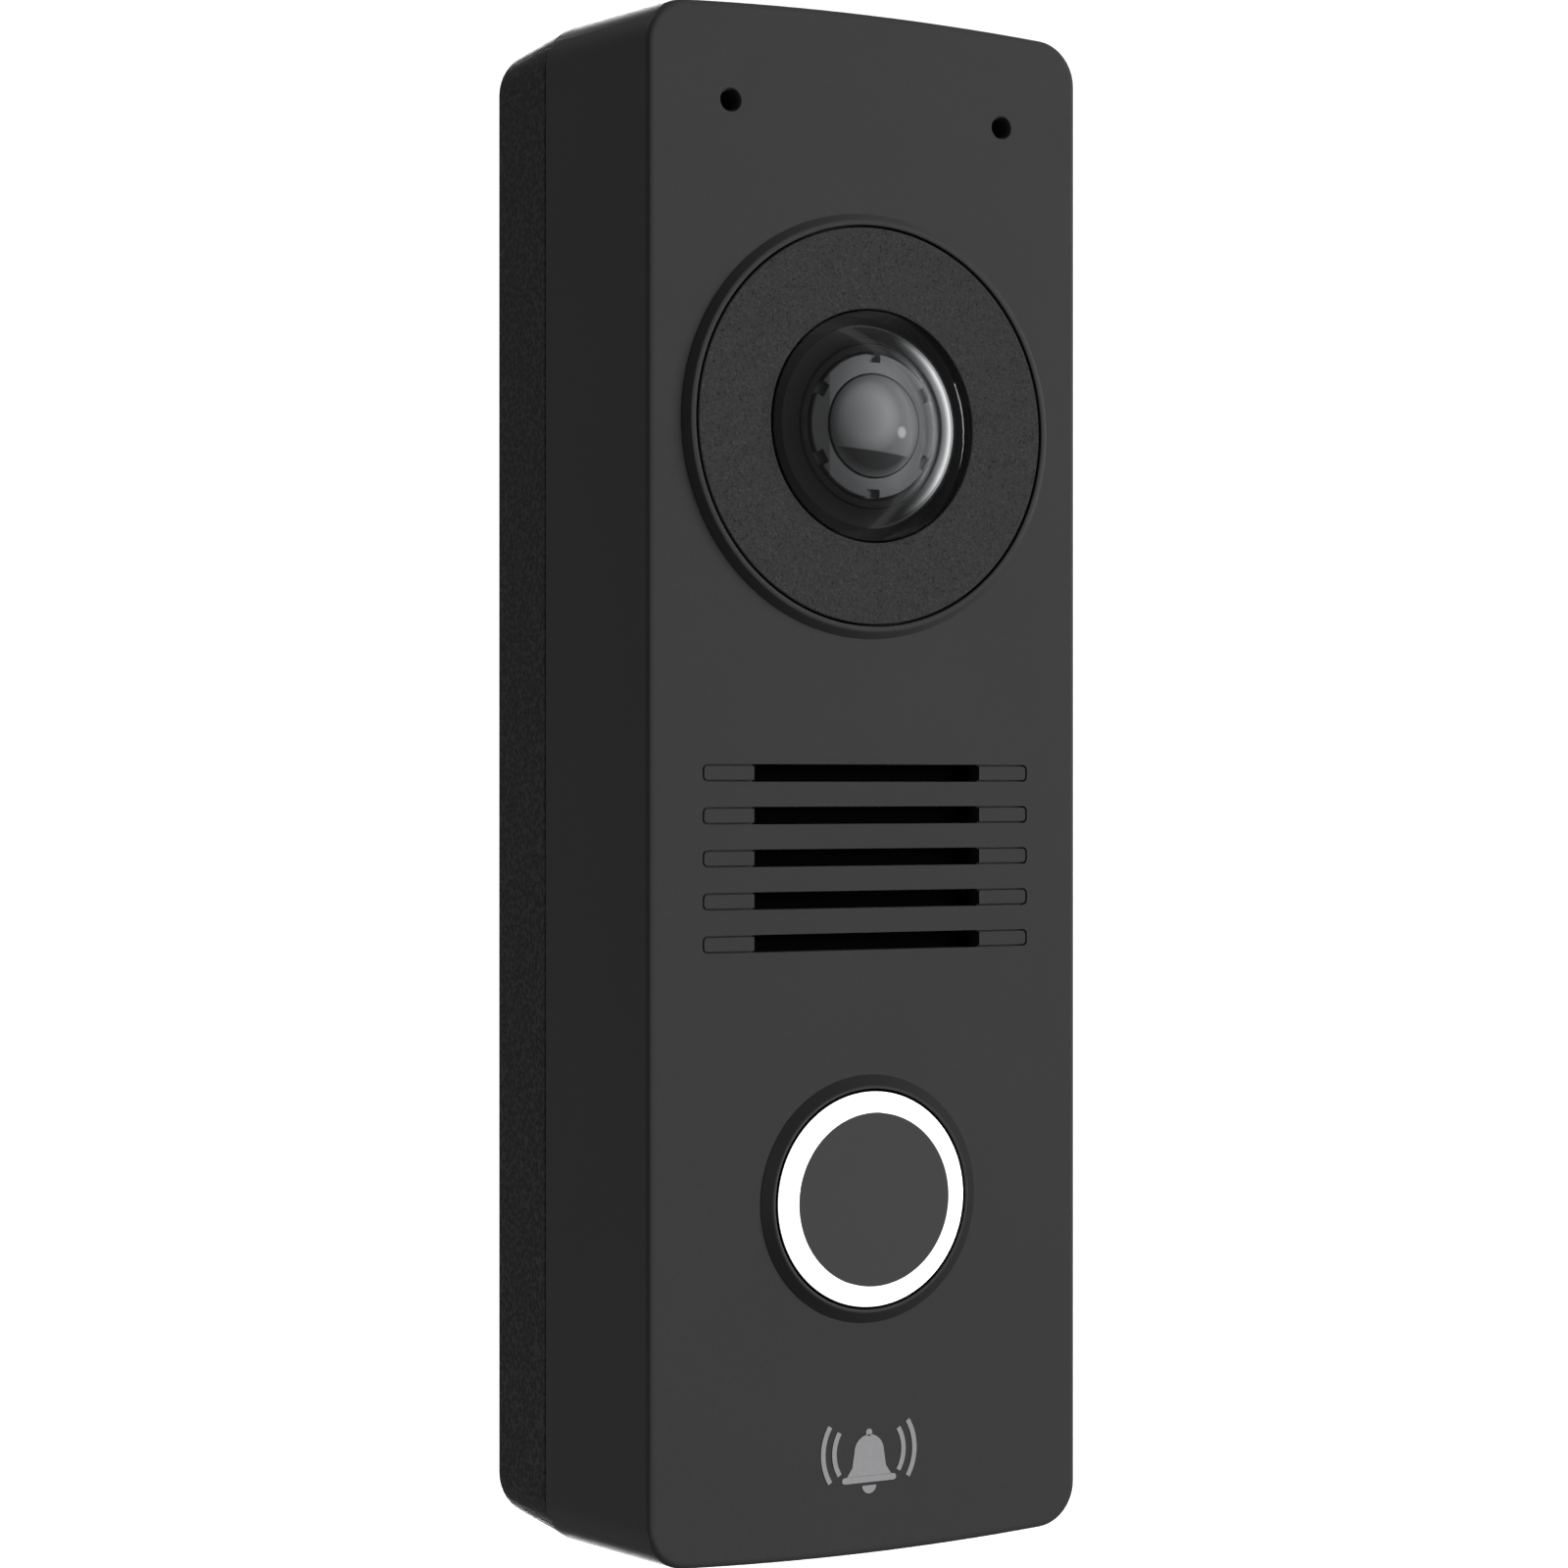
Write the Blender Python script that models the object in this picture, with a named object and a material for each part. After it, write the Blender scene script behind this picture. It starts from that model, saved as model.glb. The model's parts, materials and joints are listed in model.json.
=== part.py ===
"""Slim wall-mounted video door station, as an assembly of separate pieces.

All lengths below are in millimetres and are turned into metres when a mesh is made.
X runs to the right seen from the front and Z runs up, with zero at mid height.
Depth runs back from the flat front face; the wall lies at depth BODY_DEPTH, which is world Y = 0.
"""
import bpy
import bmesh
from math import cos, hypot, pi, radians, sin, sqrt
from mathutils import Vector

MM = 0.001

# how many sides round shapes have
LARGE_STEPS = 40
MEDIUM_STEPS = 28
SMALL_STEPS = 20
POST_STEPS = 12
SCREW_STEPS = 10
HOLE_STEPS = 8
CORNER_STEPS = 4
CROWN_STEPS = 6

# casing
FRONT_WIDTH = 58.1
FRONT_HEIGHT = 180.0
FRONT_CORNER = 4.8
CROWN = 1.0
EDGE_ROUND = 0.8
DRAFT = 1.0
COVER_DEPTH = 24.5
BODY_DEPTH = 39.6
REAR_TAPER = 0.7
SEAM_GAP = 0.3
GAP = 0.3
WALL = 2.2
LEDGE_WALL = 3.6
LEDGE_DEPTH = 20.4
FACE_WALL = 2.4
INSERT_BACK = 2.2
PLATE_FRONT = 21.8
PLATE_BACK = 24.0
SEAM_WIDTH = FRONT_WIDTH + 2 * DRAFT
SEAM_HEIGHT = FRONT_HEIGHT + 2 * DRAFT
REAR_FLOOR = BODY_DEPTH - WALL

# camera
CAMERA_Z = 41.75
BEZEL_FOOT = 24.8
BEZEL_RIM = 24.05
BEZEL_BORE = 23.45
BEZEL_RISE = 1.05
RECESS_FLOOR = 0.9
TRIM_RADIUS = 22.9
TRIM_HOLE = 13.7
WINDOW_HOLE = 14.0
TRIM_FRONT = -1.0
TRIM_BACK = 0.6
WINDOW_RADIUS = 13.4
WINDOW_RIM = -1.1
WINDOW_RISE = 4.5
WINDOW_THICK = 1.5
WINDOW_FLANGE = 16.8
CLAMP_RADIUS = 21.0
CLAMP_SCREW_CIRCLE = 18.9
LENS_RING_RADIUS = 8.4
LENS_RING_BORE = 6.1
LENS_RADIUS = 5.8
CAMERA_BOARD_HALF = 20.0
CAMERA_BOARD_FRONT = 19.0
CAMERA_BOARD_BACK = 20.3
CAMERA_POST = 17.5
CAMERA_POST_RADIUS = 2.0

# speaker slots
SLOT_TOP_Z = 1.27
SLOT_PITCH = 4.91
SLOT_COUNT = 5
SLOT_HALF_LENGTH = 22.04
SLOT_HALF_HEIGHT = 1.0
SLOT_CORNER = 0.6
SLOT_RECESS = 0.3
SLOT_OPEN_HALF_LENGTH = 15.3
SLOT_OPEN_HALF_HEIGHT = 0.9
SPEAKER_Z = SLOT_TOP_Z - SLOT_PITCH * (SLOT_COUNT - 1) / 2

# microphones
MIC_X = 18.4
MIC_Z = 78.3
MIC_MOUTH = 1.3
MIC_BORE = 0.73

# call button
BUTTON_Z = -48.45
SURROUND_FOOT = 14.45
SURROUND_RIDGE = 13.5
SURROUND_BORE = 13.05
SURROUND_RISE = 0.75
LIGHT_OUTER = 12.55
LIGHT_INNER = 10.03
LIGHT_EDGE = -0.7
BUTTON_FACE = -1.4
CAP_RADIUS = LIGHT_INNER - GAP
BUTTON_BOARD_FRONT = 9.5
BUTTON_BOARD_BACK = 10.7

# main board
BOARD_HALF_WIDTH = 19.6
BOARD_TOP = 20.5
BOARD_BOTTOM = -82.0
BOARD_FRONT = 14.4
BOARD_BACK = 16.0
BOARD_POSTS = [(-16.5, 16.5), (16.5, 16.5), (-16.5, -77.0), (16.5, -77.0)]
BOARD_POST_RADIUS = 2.4
PARTS_DEPTH = BOARD_BACK + GAP

# ladder frame that carries both boards
FRAME_HALF_WIDTH = 22.5
FRAME_TOP = 62.3
FRAME_BOTTOM = -79.9
FRAME_CORNER = 3.0
FRAME_FRONT = 11.2
FRAME_BACK = 13.2
FRAME_WINDOW_HALF = 13.4
FRAME_WINDOWS = [(-73.6, 13.2), (27.2, 56.3)]

# cover posts that take the back plate's screws
COVER_POST_X = 22.9
COVER_POST_Z = 82.0
COVER_POST_RADIUS = 2.8
CLAMP_POST_RADIUS = 1.7
CLAMP_POST_BACK = 5.5

# hooks, lock and cable entry
HOOK_X = 14.0
HOOK_HALF_WIDTH = 4.0
HOOK_BOTTOM = 80.2
HOOK_TOP = 81.8
HOOK_TIP = 20.0
HOOK_SLOT_HALF_WIDTH = 5.0
HOOK_SLOT_BOTTOM = 78.4
HOOK_SLOT_TOP = 83.6
HINGE_Z = SEAM_HEIGHT / 2 + 0.1
HINGE_DEPTH = COVER_DEPTH + SEAM_GAP / 2
LOCK_DEPTH = 30.5
LOCK_HALF_WIDTH = 6.0
LOCK_TAB = (-84.8, -83.1)
LOCK_TAB_BACK = 33.5
LOCK_BOSS = (-89.0, -85.4)
CABLE_Z = -40.0
CABLE_HOLE = 10.0
CABLE_PASSAGE = 7.3
GROMMET_FLANGE = 11.6
GROMMET_FRONT = 36.0
FIXING_HOLE = 2.4
FIXING_Z = 62.0

# jack, terminals and memory card
JACK_LEFT = -18.5
JACK_WIDTH = 16.0
JACK_TOP = 12.0
JACK_LENGTH = 21.3
JACK_BACK = 29.8
CARD_X = 9.0
CARD_TOP = -11.0
TERMINAL_COUNT = 5
TERMINAL_PITCH = 3.4
CONTROL_BUTTON = (-12.0, -20.0)


def clear_scene():
    for item in list(bpy.data.objects):
        bpy.data.objects.remove(item, do_unlink=True)


def world(x, depth, z):
    return Vector((x, depth - BODY_DEPTH, z)) * MM


def make_material(name, color, roughness, metallic=0.0, alpha=1.0):
    found = bpy.data.materials.get(name)
    if found:
        return found
    material = bpy.data.materials.new(name)
    material.use_nodes = True
    shader = material.node_tree.nodes["Principled BSDF"]
    shader.inputs["Base Color"].default_value = (*color, 1.0)
    shader.inputs["Roughness"].default_value = roughness
    shader.inputs["Metallic"].default_value = metallic
    shader.inputs["Alpha"].default_value = alpha
    return material


MATERIALS = {
    "cover_grey": ((0.052, 0.052, 0.055), 0.42),
    "rear_grey": ((0.022, 0.022, 0.024), 0.62),
    "trim_grey": ((0.045, 0.045, 0.048), 0.6),
    "clear_dome": ((0.8, 0.82, 0.85), 0.04, 0.0, 0.3),
    "lens_glass": ((0.25, 0.27, 0.3), 0.03, 0.0, 0.6),
    "black_plastic": ((0.012, 0.012, 0.013), 0.5),
    "white_light": ((0.95, 0.95, 0.95), 0.4),
    "cap_grey": ((0.06, 0.06, 0.063), 0.45),
    "rubber": ((0.015, 0.015, 0.015), 0.8),
    "board_green": ((0.02, 0.1, 0.05), 0.5),
    "steel": ((0.55, 0.56, 0.58), 0.3, 1.0),
    "aluminium": ((0.5, 0.51, 0.53), 0.45, 1.0),
    "amber_film": ((0.45, 0.22, 0.05), 0.4),
    "cloth": ((0.01, 0.01, 0.01), 0.95),
}


def empty_at(name, position, parent=None):
    """An empty that carries a moving group, standing on its joint's axis."""
    holder = bpy.data.objects.new(name, None)
    bpy.context.scene.collection.objects.link(holder)
    holder["place"] = list(position)
    holder.parent = parent
    base = Vector(parent["place"]) if parent else Vector((0, 0, 0))
    holder.location = position - base
    return holder


def finish(name, bm, slot, origin, parent=None):
    """Turn a bmesh in world coordinates into an object whose own origin is at origin."""
    bmesh.ops.remove_doubles(bm, verts=bm.verts, dist=1e-7)
    bmesh.ops.recalc_face_normals(bm, faces=bm.faces)
    bmesh.ops.translate(bm, vec=-origin, verts=bm.verts)
    mesh = bpy.data.meshes.new(name)
    bm.to_mesh(mesh)
    bm.free()
    piece = bpy.data.objects.new(name, mesh)
    bpy.context.scene.collection.objects.link(piece)
    if slot:
        mesh.materials.append(make_material(slot, *MATERIALS[slot]))
    mesh.shade_smooth()
    mesh.set_sharp_from_angle(angle=radians(35))
    piece.parent = parent
    base = Vector(parent["place"]) if parent else Vector((0, 0, 0))
    piece.location = origin - base
    return piece


def loft(name, sections, slot, origin, parent=None):
    """Skin a run of (depth, outline) sections with the same point count, capped at both ends."""
    bm = bmesh.new()
    loops = [[bm.verts.new(world(x, depth, z)) for x, z in outline] for depth, outline in sections]
    for lower, upper in zip(loops, loops[1:]):
        for index in range(len(lower)):
            after = (index + 1) % len(lower)
            bm.faces.new((lower[index], lower[after], upper[after], upper[index]))
    bm.faces.new(loops[0])
    bm.faces.new(loops[-1])
    return finish(name, bm, slot, origin, parent)


def turned(name, profile, center, slot, parent=None, steps=MEDIUM_STEPS, twist=0.0):
    """Turn a (radius, depth) profile about the depth axis; a profile that leaves the axis is a ring.

    twist shifts the steps round by that share of one, so a cutter's corners miss its target's edges.
    """
    bm = bmesh.new()
    x, z = center
    loops = []
    for radius, depth in profile:
        if radius == 0:
            loops.append([bm.verts.new(world(x, depth, z))])
            continue
        turn = [2 * pi * (step + twist) / steps for step in range(steps)]
        loops.append([bm.verts.new(world(x + radius * cos(a), depth, z + radius * sin(a))) for a in turn])
    pairs = list(zip(loops, loops[1:]))
    if profile[0][0] > 0:
        pairs.append((loops[-1], loops[0]))
    for first, second in pairs:
        for step in range(steps):
            after = (step + 1) % steps
            corners = [first[step % len(first)], first[after % len(first)]]
            corners += [second[after % len(second)], second[step % len(second)]]
            bm.faces.new(list(dict.fromkeys(corners)))
    return finish(name, bm, slot, world(x, profile[0][1], z), parent)


def upright(name, profile, x, depth, slot, parent=None, steps=SMALL_STEPS, twist=0.0):
    """Turn a (radius, z) profile about a vertical axis."""
    bm = bmesh.new()
    loops = []
    for radius, z in profile:
        if radius == 0:
            loops.append([bm.verts.new(world(x, depth, z))])
            continue
        turn = [2 * pi * (step + twist) / steps for step in range(steps)]
        loops.append([bm.verts.new(world(x + radius * cos(a), depth + radius * sin(a), z)) for a in turn])
    for first, second in zip(loops, loops[1:]):
        for step in range(steps):
            after = (step + 1) % steps
            corners = [first[step % len(first)], first[after % len(first)]]
            corners += [second[after % len(second)], second[step % len(second)]]
            bm.faces.new(list(dict.fromkeys(corners)))
    return finish(name, bm, slot, world(x, depth, profile[0][1]), parent)


def block(name, xs, depths, zs, slot, parent=None):
    outline = [(xs[0], zs[0]), (xs[1], zs[0]), (xs[1], zs[1]), (xs[0], zs[1])]
    middle = world(sum(xs) / 2, sum(depths) / 2, sum(zs) / 2)
    return loft(name, [(depths[0], outline), (depths[1], outline)], slot, middle, parent)


def arc(center, radius, start, end, steps):
    """Points on a circle from start to end, in degrees."""
    turn = [radians(start + (end - start) * step / steps) for step in range(steps + 1)]
    return [(center[0] + radius * cos(a), center[1] + radius * sin(a)) for a in turn]


def rounded(center, half_width, half_height, radius, steps=5):
    x, z = center
    points = []
    for side_x, side_z, start in ((1, 1, 0), (-1, 1, 90), (-1, -1, 180), (1, -1, 270)):
        middle = (x + side_x * (half_width - radius), z + side_z * (half_height - radius))
        points += arc(middle, radius, start, start + 90, steps)
    return points


def slab(name, center, half_width, half_height, radius, depths, slot, parent=None, steps=5):
    outline = rounded(center, half_width, half_height, radius, steps)
    middle = world(center[0], depths[0], center[1])
    return loft(name, [(depths[0], outline), (depths[1], outline)], slot, middle, parent)


def casing_outline(width, height, radius):
    """Rounded rectangle whose top and bottom edges bow outwards by CROWN."""
    points = []
    for x, z in rounded((0, 0), width / 2, height / 2 - CROWN, radius, CORNER_STEPS):
        points.append((x, z))
    crowned = []
    for index, point in enumerate(points):
        crowned.append(point)
        after = points[(index + 1) % len(points)]
        if abs(after[0] - point[0]) > width / 2:
            for step in range(1, CROWN_STEPS):
                share = step / CROWN_STEPS
                crowned.append((point[0] + (after[0] - point[0]) * share, point[1]))
    reach = width / 2
    return [(x, z + (CROWN * (1 - (x / reach) ** 2)) * (1 if z > 0 else -1)) for x, z in crowned]


def cover_outline(depth, inset):
    """Outline of the casing's front half at a depth, moved in by inset."""
    grow = DRAFT * depth / COVER_DEPTH
    width = FRONT_WIDTH + 2 * (grow - inset)
    height = FRONT_HEIGHT + 2 * (grow - inset)
    return casing_outline(width, height, max(FRONT_CORNER + grow / 2 - inset, 0.8))


def rear_outline(depth, inset):
    share = (depth - COVER_DEPTH) / (BODY_DEPTH - COVER_DEPTH)
    shrink = REAR_TAPER * share + inset
    width = SEAM_WIDTH - 2 * shrink
    height = SEAM_HEIGHT - 2 * shrink
    return casing_outline(width, height, max(FRONT_CORNER + DRAFT / 2 - shrink, 0.8))


def as_tool(tool):
    tool.hide_render = True
    tool.display_type = "WIRE"


def cut(target, *tools):
    for tool in tools:
        as_tool(tool)
        step = target.modifiers.new(tool.name, "BOOLEAN")
        step.operation = "DIFFERENCE"
        step.solver = "EXACT"
        step.object = tool


def fuse(target, *tools):
    for tool in tools:
        as_tool(tool)
        step = target.modifiers.new(tool.name, "BOOLEAN")
        step.operation = "UNION"
        step.solver = "EXACT"
        step.object = tool


def screw(name, center, head, shaft, depths, parent, steps=SCREW_STEPS):
    """Pan-head screw facing back: head radius, shaft radius, (tip, under head, head top) depths."""
    tip, under, top = depths
    socket = head * 0.45
    profile = [(0, tip), (shaft * 0.6, tip), (shaft, tip + shaft), (shaft, under), (head, under)]
    profile += [(head, top - 0.3), (head - 0.3, top), (socket, top), (socket, top - 0.5), (0, top - 0.5)]
    return turned(name, profile, center, "steel", parent, steps)


def post(name, center, radius, front, back, parent):
    return turned(name, [(0, front), (radius, front), (radius, back), (0, back)],
                  center, None, parent, POST_STEPS)


def pilot(name, center, radius, depths, parent, steps=HOLE_STEPS):
    return turned(name, [(0, depths[0]), (radius, depths[0]), (radius, depths[1]), (0, depths[1])],
                  center, None, parent, steps, 0.5)


def camera_posts():
    return [(-CAMERA_POST, CAMERA_Z - CAMERA_POST), (CAMERA_POST, CAMERA_Z - CAMERA_POST),
            (-CAMERA_POST, CAMERA_Z + CAMERA_POST), (CAMERA_POST, CAMERA_Z + CAMERA_POST)]


def clamp_posts():
    turn = [radians(angle) for angle in (0, 180)]
    return [(CLAMP_SCREW_CIRCLE * cos(a), CAMERA_Z + CLAMP_SCREW_CIRCLE * sin(a)) for a in turn]


def cover_posts():
    return [(side * COVER_POST_X, end * COVER_POST_Z) for end in (1, -1) for side in (-1, 1)]


def front_cover(unit):
    sections = []
    for step in range(4):
        turn = radians(90 * step / 3)
        sections.append((EDGE_ROUND * (1 - cos(turn)), cover_outline(0, EDGE_ROUND * (1 - sin(turn)))))
    sections.append((COVER_DEPTH - 0.25, cover_outline(COVER_DEPTH - 0.25, 0)))
    sections.append((COVER_DEPTH, cover_outline(COVER_DEPTH, 0.25)))
    sections.append((COVER_DEPTH, cover_outline(COVER_DEPTH, WALL)))
    sections.append((LEDGE_DEPTH, cover_outline(LEDGE_DEPTH, WALL)))
    sections.append((LEDGE_DEPTH, cover_outline(LEDGE_DEPTH, LEDGE_WALL)))
    sections.append((FACE_WALL, cover_outline(FACE_WALL, LEDGE_WALL)))
    cover = loft("front_cover", sections, "cover_grey", world(0, HINGE_DEPTH, HINGE_Z), unit)

    camera = (0, CAMERA_Z)
    button = (0, BUTTON_Z)
    cut(cover, pilot("camera_opening", camera, BEZEL_BORE + 0.7, (-3.0, 4.0), unit, LARGE_STEPS))
    fuse(cover, turned("bezel_ring", [(WINDOW_HOLE, RECESS_FLOOR), (BEZEL_BORE, RECESS_FLOOR),
                                      (BEZEL_BORE, -BEZEL_RISE), (BEZEL_RIM, -BEZEL_RISE), (BEZEL_FOOT, -0.15),
                                      (BEZEL_FOOT, INSERT_BACK), (WINDOW_HOLE, INSERT_BACK)],
                       camera, None, unit, LARGE_STEPS))
    cut(cover, pilot("button_opening", button, SURROUND_BORE + 0.5, (-3.0, 4.0), unit, MEDIUM_STEPS))
    fuse(cover, turned("button_surround", [(SURROUND_BORE, -SURROUND_RISE), (SURROUND_RIDGE, -SURROUND_RISE),
                                           (SURROUND_FOOT, -0.1), (SURROUND_FOOT, INSERT_BACK),
                                           (SURROUND_BORE, INSERT_BACK)], button, None, unit, MEDIUM_STEPS))
    root = FACE_WALL - 0.6
    for index, center in enumerate(cover_posts()):
        fuse(cover, post(f"cover_post_{index}", center, COVER_POST_RADIUS, root, PLATE_FRONT - GAP, unit))
        cut(cover, pilot(f"cover_pilot_{index}", center, 1.4, (13.0, PLATE_FRONT), unit))
    for index, center in enumerate(clamp_posts()):
        fuse(cover, post(f"clamp_post_{index}", center, CLAMP_POST_RADIUS, root, CLAMP_POST_BACK, unit))
        cut(cover, pilot(f"clamp_pilot_{index}", center, 1.0, (3.0, CLAMP_POST_BACK + 0.5), unit))

    for index in range(SLOT_COUNT):
        center = (0, SLOT_TOP_Z - index * SLOT_PITCH)
        cut(cover, slab(f"slot_recess_{index}", center, SLOT_HALF_LENGTH, SLOT_HALF_HEIGHT, SLOT_CORNER,
                        (-1.0, SLOT_RECESS), None, unit, 3))
        cut(cover, slab(f"slot_open_{index}", center, SLOT_OPEN_HALF_LENGTH, SLOT_OPEN_HALF_HEIGHT, 0.15,
                        (-1.5, 4.0), None, unit, 1))
    for side in (-1, 1):
        cut(cover, turned(f"mic_hole_{side}", [(0, -1.0), (MIC_MOUTH, -1.0), (MIC_MOUTH, 0.1),
                                               (MIC_BORE, 0.6), (MIC_BORE, 4.0), (0, 4.0)],
                          (side * MIC_X, MIC_Z), None, unit, POST_STEPS, 0.5))
    return cover


def inner_frame(unit):
    """Ladder frame standing on the face inside the cover; its posts carry the camera and main boards."""
    middle = (0, (FRAME_TOP + FRAME_BOTTOM) / 2)
    frame = slab("inner_frame", middle, FRAME_HALF_WIDTH, (FRAME_TOP - FRAME_BOTTOM) / 2, FRAME_CORNER,
                 (FRAME_FRONT, FRAME_BACK), "black_plastic", unit, 3)
    for index, (low, high) in enumerate(FRAME_WINDOWS):
        cut(frame, slab(f"frame_window_{index}", (0, (low + high) / 2), FRAME_WINDOW_HALF, (high - low) / 2, 2.0,
                        (FRAME_FRONT - 1.0, FRAME_BACK + 1.0), None, unit, 2))
    foot = FACE_WALL + GAP
    for index, center in enumerate(camera_posts()):
        fuse(frame, post(f"camera_post_{index}", center, CAMERA_POST_RADIUS, foot, CAMERA_BOARD_FRONT - GAP, unit))
        cut(frame, pilot(f"camera_pilot_{index}", center, 1.1, (13.6, CAMERA_BOARD_FRONT), unit))
    for index, center in enumerate(BOARD_POSTS):
        fuse(frame, post(f"board_post_{index}", center, BOARD_POST_RADIUS, foot, BOARD_FRONT - GAP, unit))
        cut(frame, pilot(f"board_pilot_{index}", center, 1.2, (7.0, BOARD_FRONT), unit))


def camera_pieces(unit):
    center = (0, CAMERA_Z)
    turned("camera_trim_disc", [(TRIM_HOLE, TRIM_FRONT + 0.3), (TRIM_HOLE + 0.3, TRIM_FRONT),
                                (TRIM_RADIUS - 0.25, TRIM_FRONT), (TRIM_RADIUS, TRIM_FRONT + 0.25),
                                (TRIM_RADIUS, TRIM_BACK), (TRIM_HOLE, TRIM_BACK)],
           center, "trim_grey", unit, LARGE_STEPS)

    outer = (WINDOW_RADIUS ** 2 + WINDOW_RISE ** 2) / (2 * WINDOW_RISE)
    middle = WINDOW_RIM - WINDOW_RISE + outer
    bore = WINDOW_RADIUS - WINDOW_THICK
    steps = 5
    profile = [(0, middle - outer)]
    for step in range(1, steps + 1):
        radius = WINDOW_RADIUS * step / steps
        profile.append((radius, middle - sqrt(outer ** 2 - radius ** 2)))
    profile += [(WINDOW_RADIUS, 4.0), (WINDOW_FLANGE, 4.0), (WINDOW_FLANGE, 5.5), (bore, 5.5)]
    inner = outer - WINDOW_THICK
    for step in range(steps, 0, -1):
        radius = bore * step / steps
        profile.append((radius, middle - sqrt(inner ** 2 - radius ** 2)))
    profile.append((0, middle - inner))
    turned("camera_window", profile, center, "clear_dome", unit)

    turned("window_seal", [(14.3, 2.7), (WINDOW_FLANGE, 2.7), (WINDOW_FLANGE, 3.7), (14.3, 3.7)],
           center, "rubber", unit)
    clamp = turned("window_clamp_ring", [(12.5, 5.8), (CLAMP_RADIUS, 5.8), (CLAMP_RADIUS, 7.3), (12.5, 7.3)],
                   center, "aluminium", unit)
    for index, place in enumerate(clamp_posts()):
        cut(clamp, pilot(f"clamp_hole_{index}", place, 1.1, (5.0, 8.0), unit))
        screw(f"window_clamp_screw_{index + 1}", place, 1.7, 0.7, (3.6, 7.6, 8.8), unit)

    ring = turned("lens_retaining_ring", [(LENS_RING_BORE, -1.0), (LENS_RING_BORE + 0.3, -1.1),
                                          (LENS_RING_RADIUS, -1.1), (LENS_RING_RADIUS, 0.5),
                                          (LENS_RING_BORE, 0.5)], center, "black_plastic", unit)
    for index in range(6):
        notch = block(f"ring_notch_{index}", (-0.85, 0.85), (-2.0, -0.2), (-1.0, 1.0), None, unit)
        turn = radians(60 * index)
        notch.rotation_euler = (0, turn, 0)
        reach = LENS_RING_RADIUS - 0.1
        spot = world(reach * sin(turn), -1.1, CAMERA_Z + reach * cos(turn))
        notch.location = spot - Vector(unit["place"])
        cut(ring, notch)

    glass = [(0, -2.7)]
    bulge = (LENS_RADIUS ** 2 + 1.3 ** 2) / (2 * 1.3)
    for step in range(1, 5):
        radius = LENS_RADIUS * step / 4
        glass.append((radius, -2.7 + bulge - sqrt(bulge ** 2 - radius ** 2)))
    glass += [(LENS_RADIUS, 0.5), (0, 0.5)]
    turned("lens_glass", glass, center, "lens_glass", unit)
    turned("lens_barrel", [(8.7, -0.9), (9.6, -0.9), (9.6, 8.0), (7.5, 8.0), (7.5, 14.5), (5.0, 14.5),
                           (5.0, 0.8), (8.7, 0.8)], center, "black_plastic", unit)
    holder = slab("lens_holder", center, 10.0, 10.0, 1.5, (8.4, CAMERA_BOARD_FRONT - GAP), "black_plastic", unit, 3)
    cut(holder, pilot("holder_bore", center, 7.8, (7.0, 20.0), unit, SMALL_STEPS))
    block("image_sensor", (-4.5, 4.5), (17.2, CAMERA_BOARD_FRONT - GAP), (CAMERA_Z - 4, CAMERA_Z + 4),
          "lens_glass", unit)
    board = slab("camera_board", center, CAMERA_BOARD_HALF, CAMERA_BOARD_HALF, 2.0,
                 (CAMERA_BOARD_FRONT, CAMERA_BOARD_BACK), "board_green", unit, 3)
    for index, place in enumerate(camera_posts()):
        cut(board, pilot(f"camera_board_hole_{index}", place, 1.2, (18.0, 21.0), unit))
    for index, place in enumerate((camera_posts()[0], camera_posts()[3])):
        screw(f"camera_board_screw_{index + 1}", place, 1.9, 0.8,
              (14.0, CAMERA_BOARD_BACK + GAP, PLATE_FRONT - GAP), unit)


def ribbon(name, route, half_width, thickness, slot, parent):
    """Flat cable across X that follows (depth, z) points."""
    bm = bmesh.new()
    sides = []
    for index, (depth, z) in enumerate(route):
        before = route[max(index - 1, 0)]
        after = route[min(index + 1, len(route) - 1)]
        run = (after[0] - before[0], after[1] - before[1])
        size = hypot(*run)
        off = (-run[1] / size * thickness / 2, run[0] / size * thickness / 2)
        corners = [(-half_width, 1), (half_width, 1), (half_width, -1), (-half_width, -1)]
        sides.append([bm.verts.new(world(x, depth + off[0] * side, z + off[1] * side)) for x, side in corners])
    for first, second in zip(sides, sides[1:]):
        for index in range(4):
            after = (index + 1) % 4
            bm.faces.new((first[index], first[after], second[after], second[index]))
    bm.faces.new(sides[0])
    bm.faces.new(sides[-1])
    return finish(name, bm, slot, world(0, *route[0]), parent)


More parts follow.
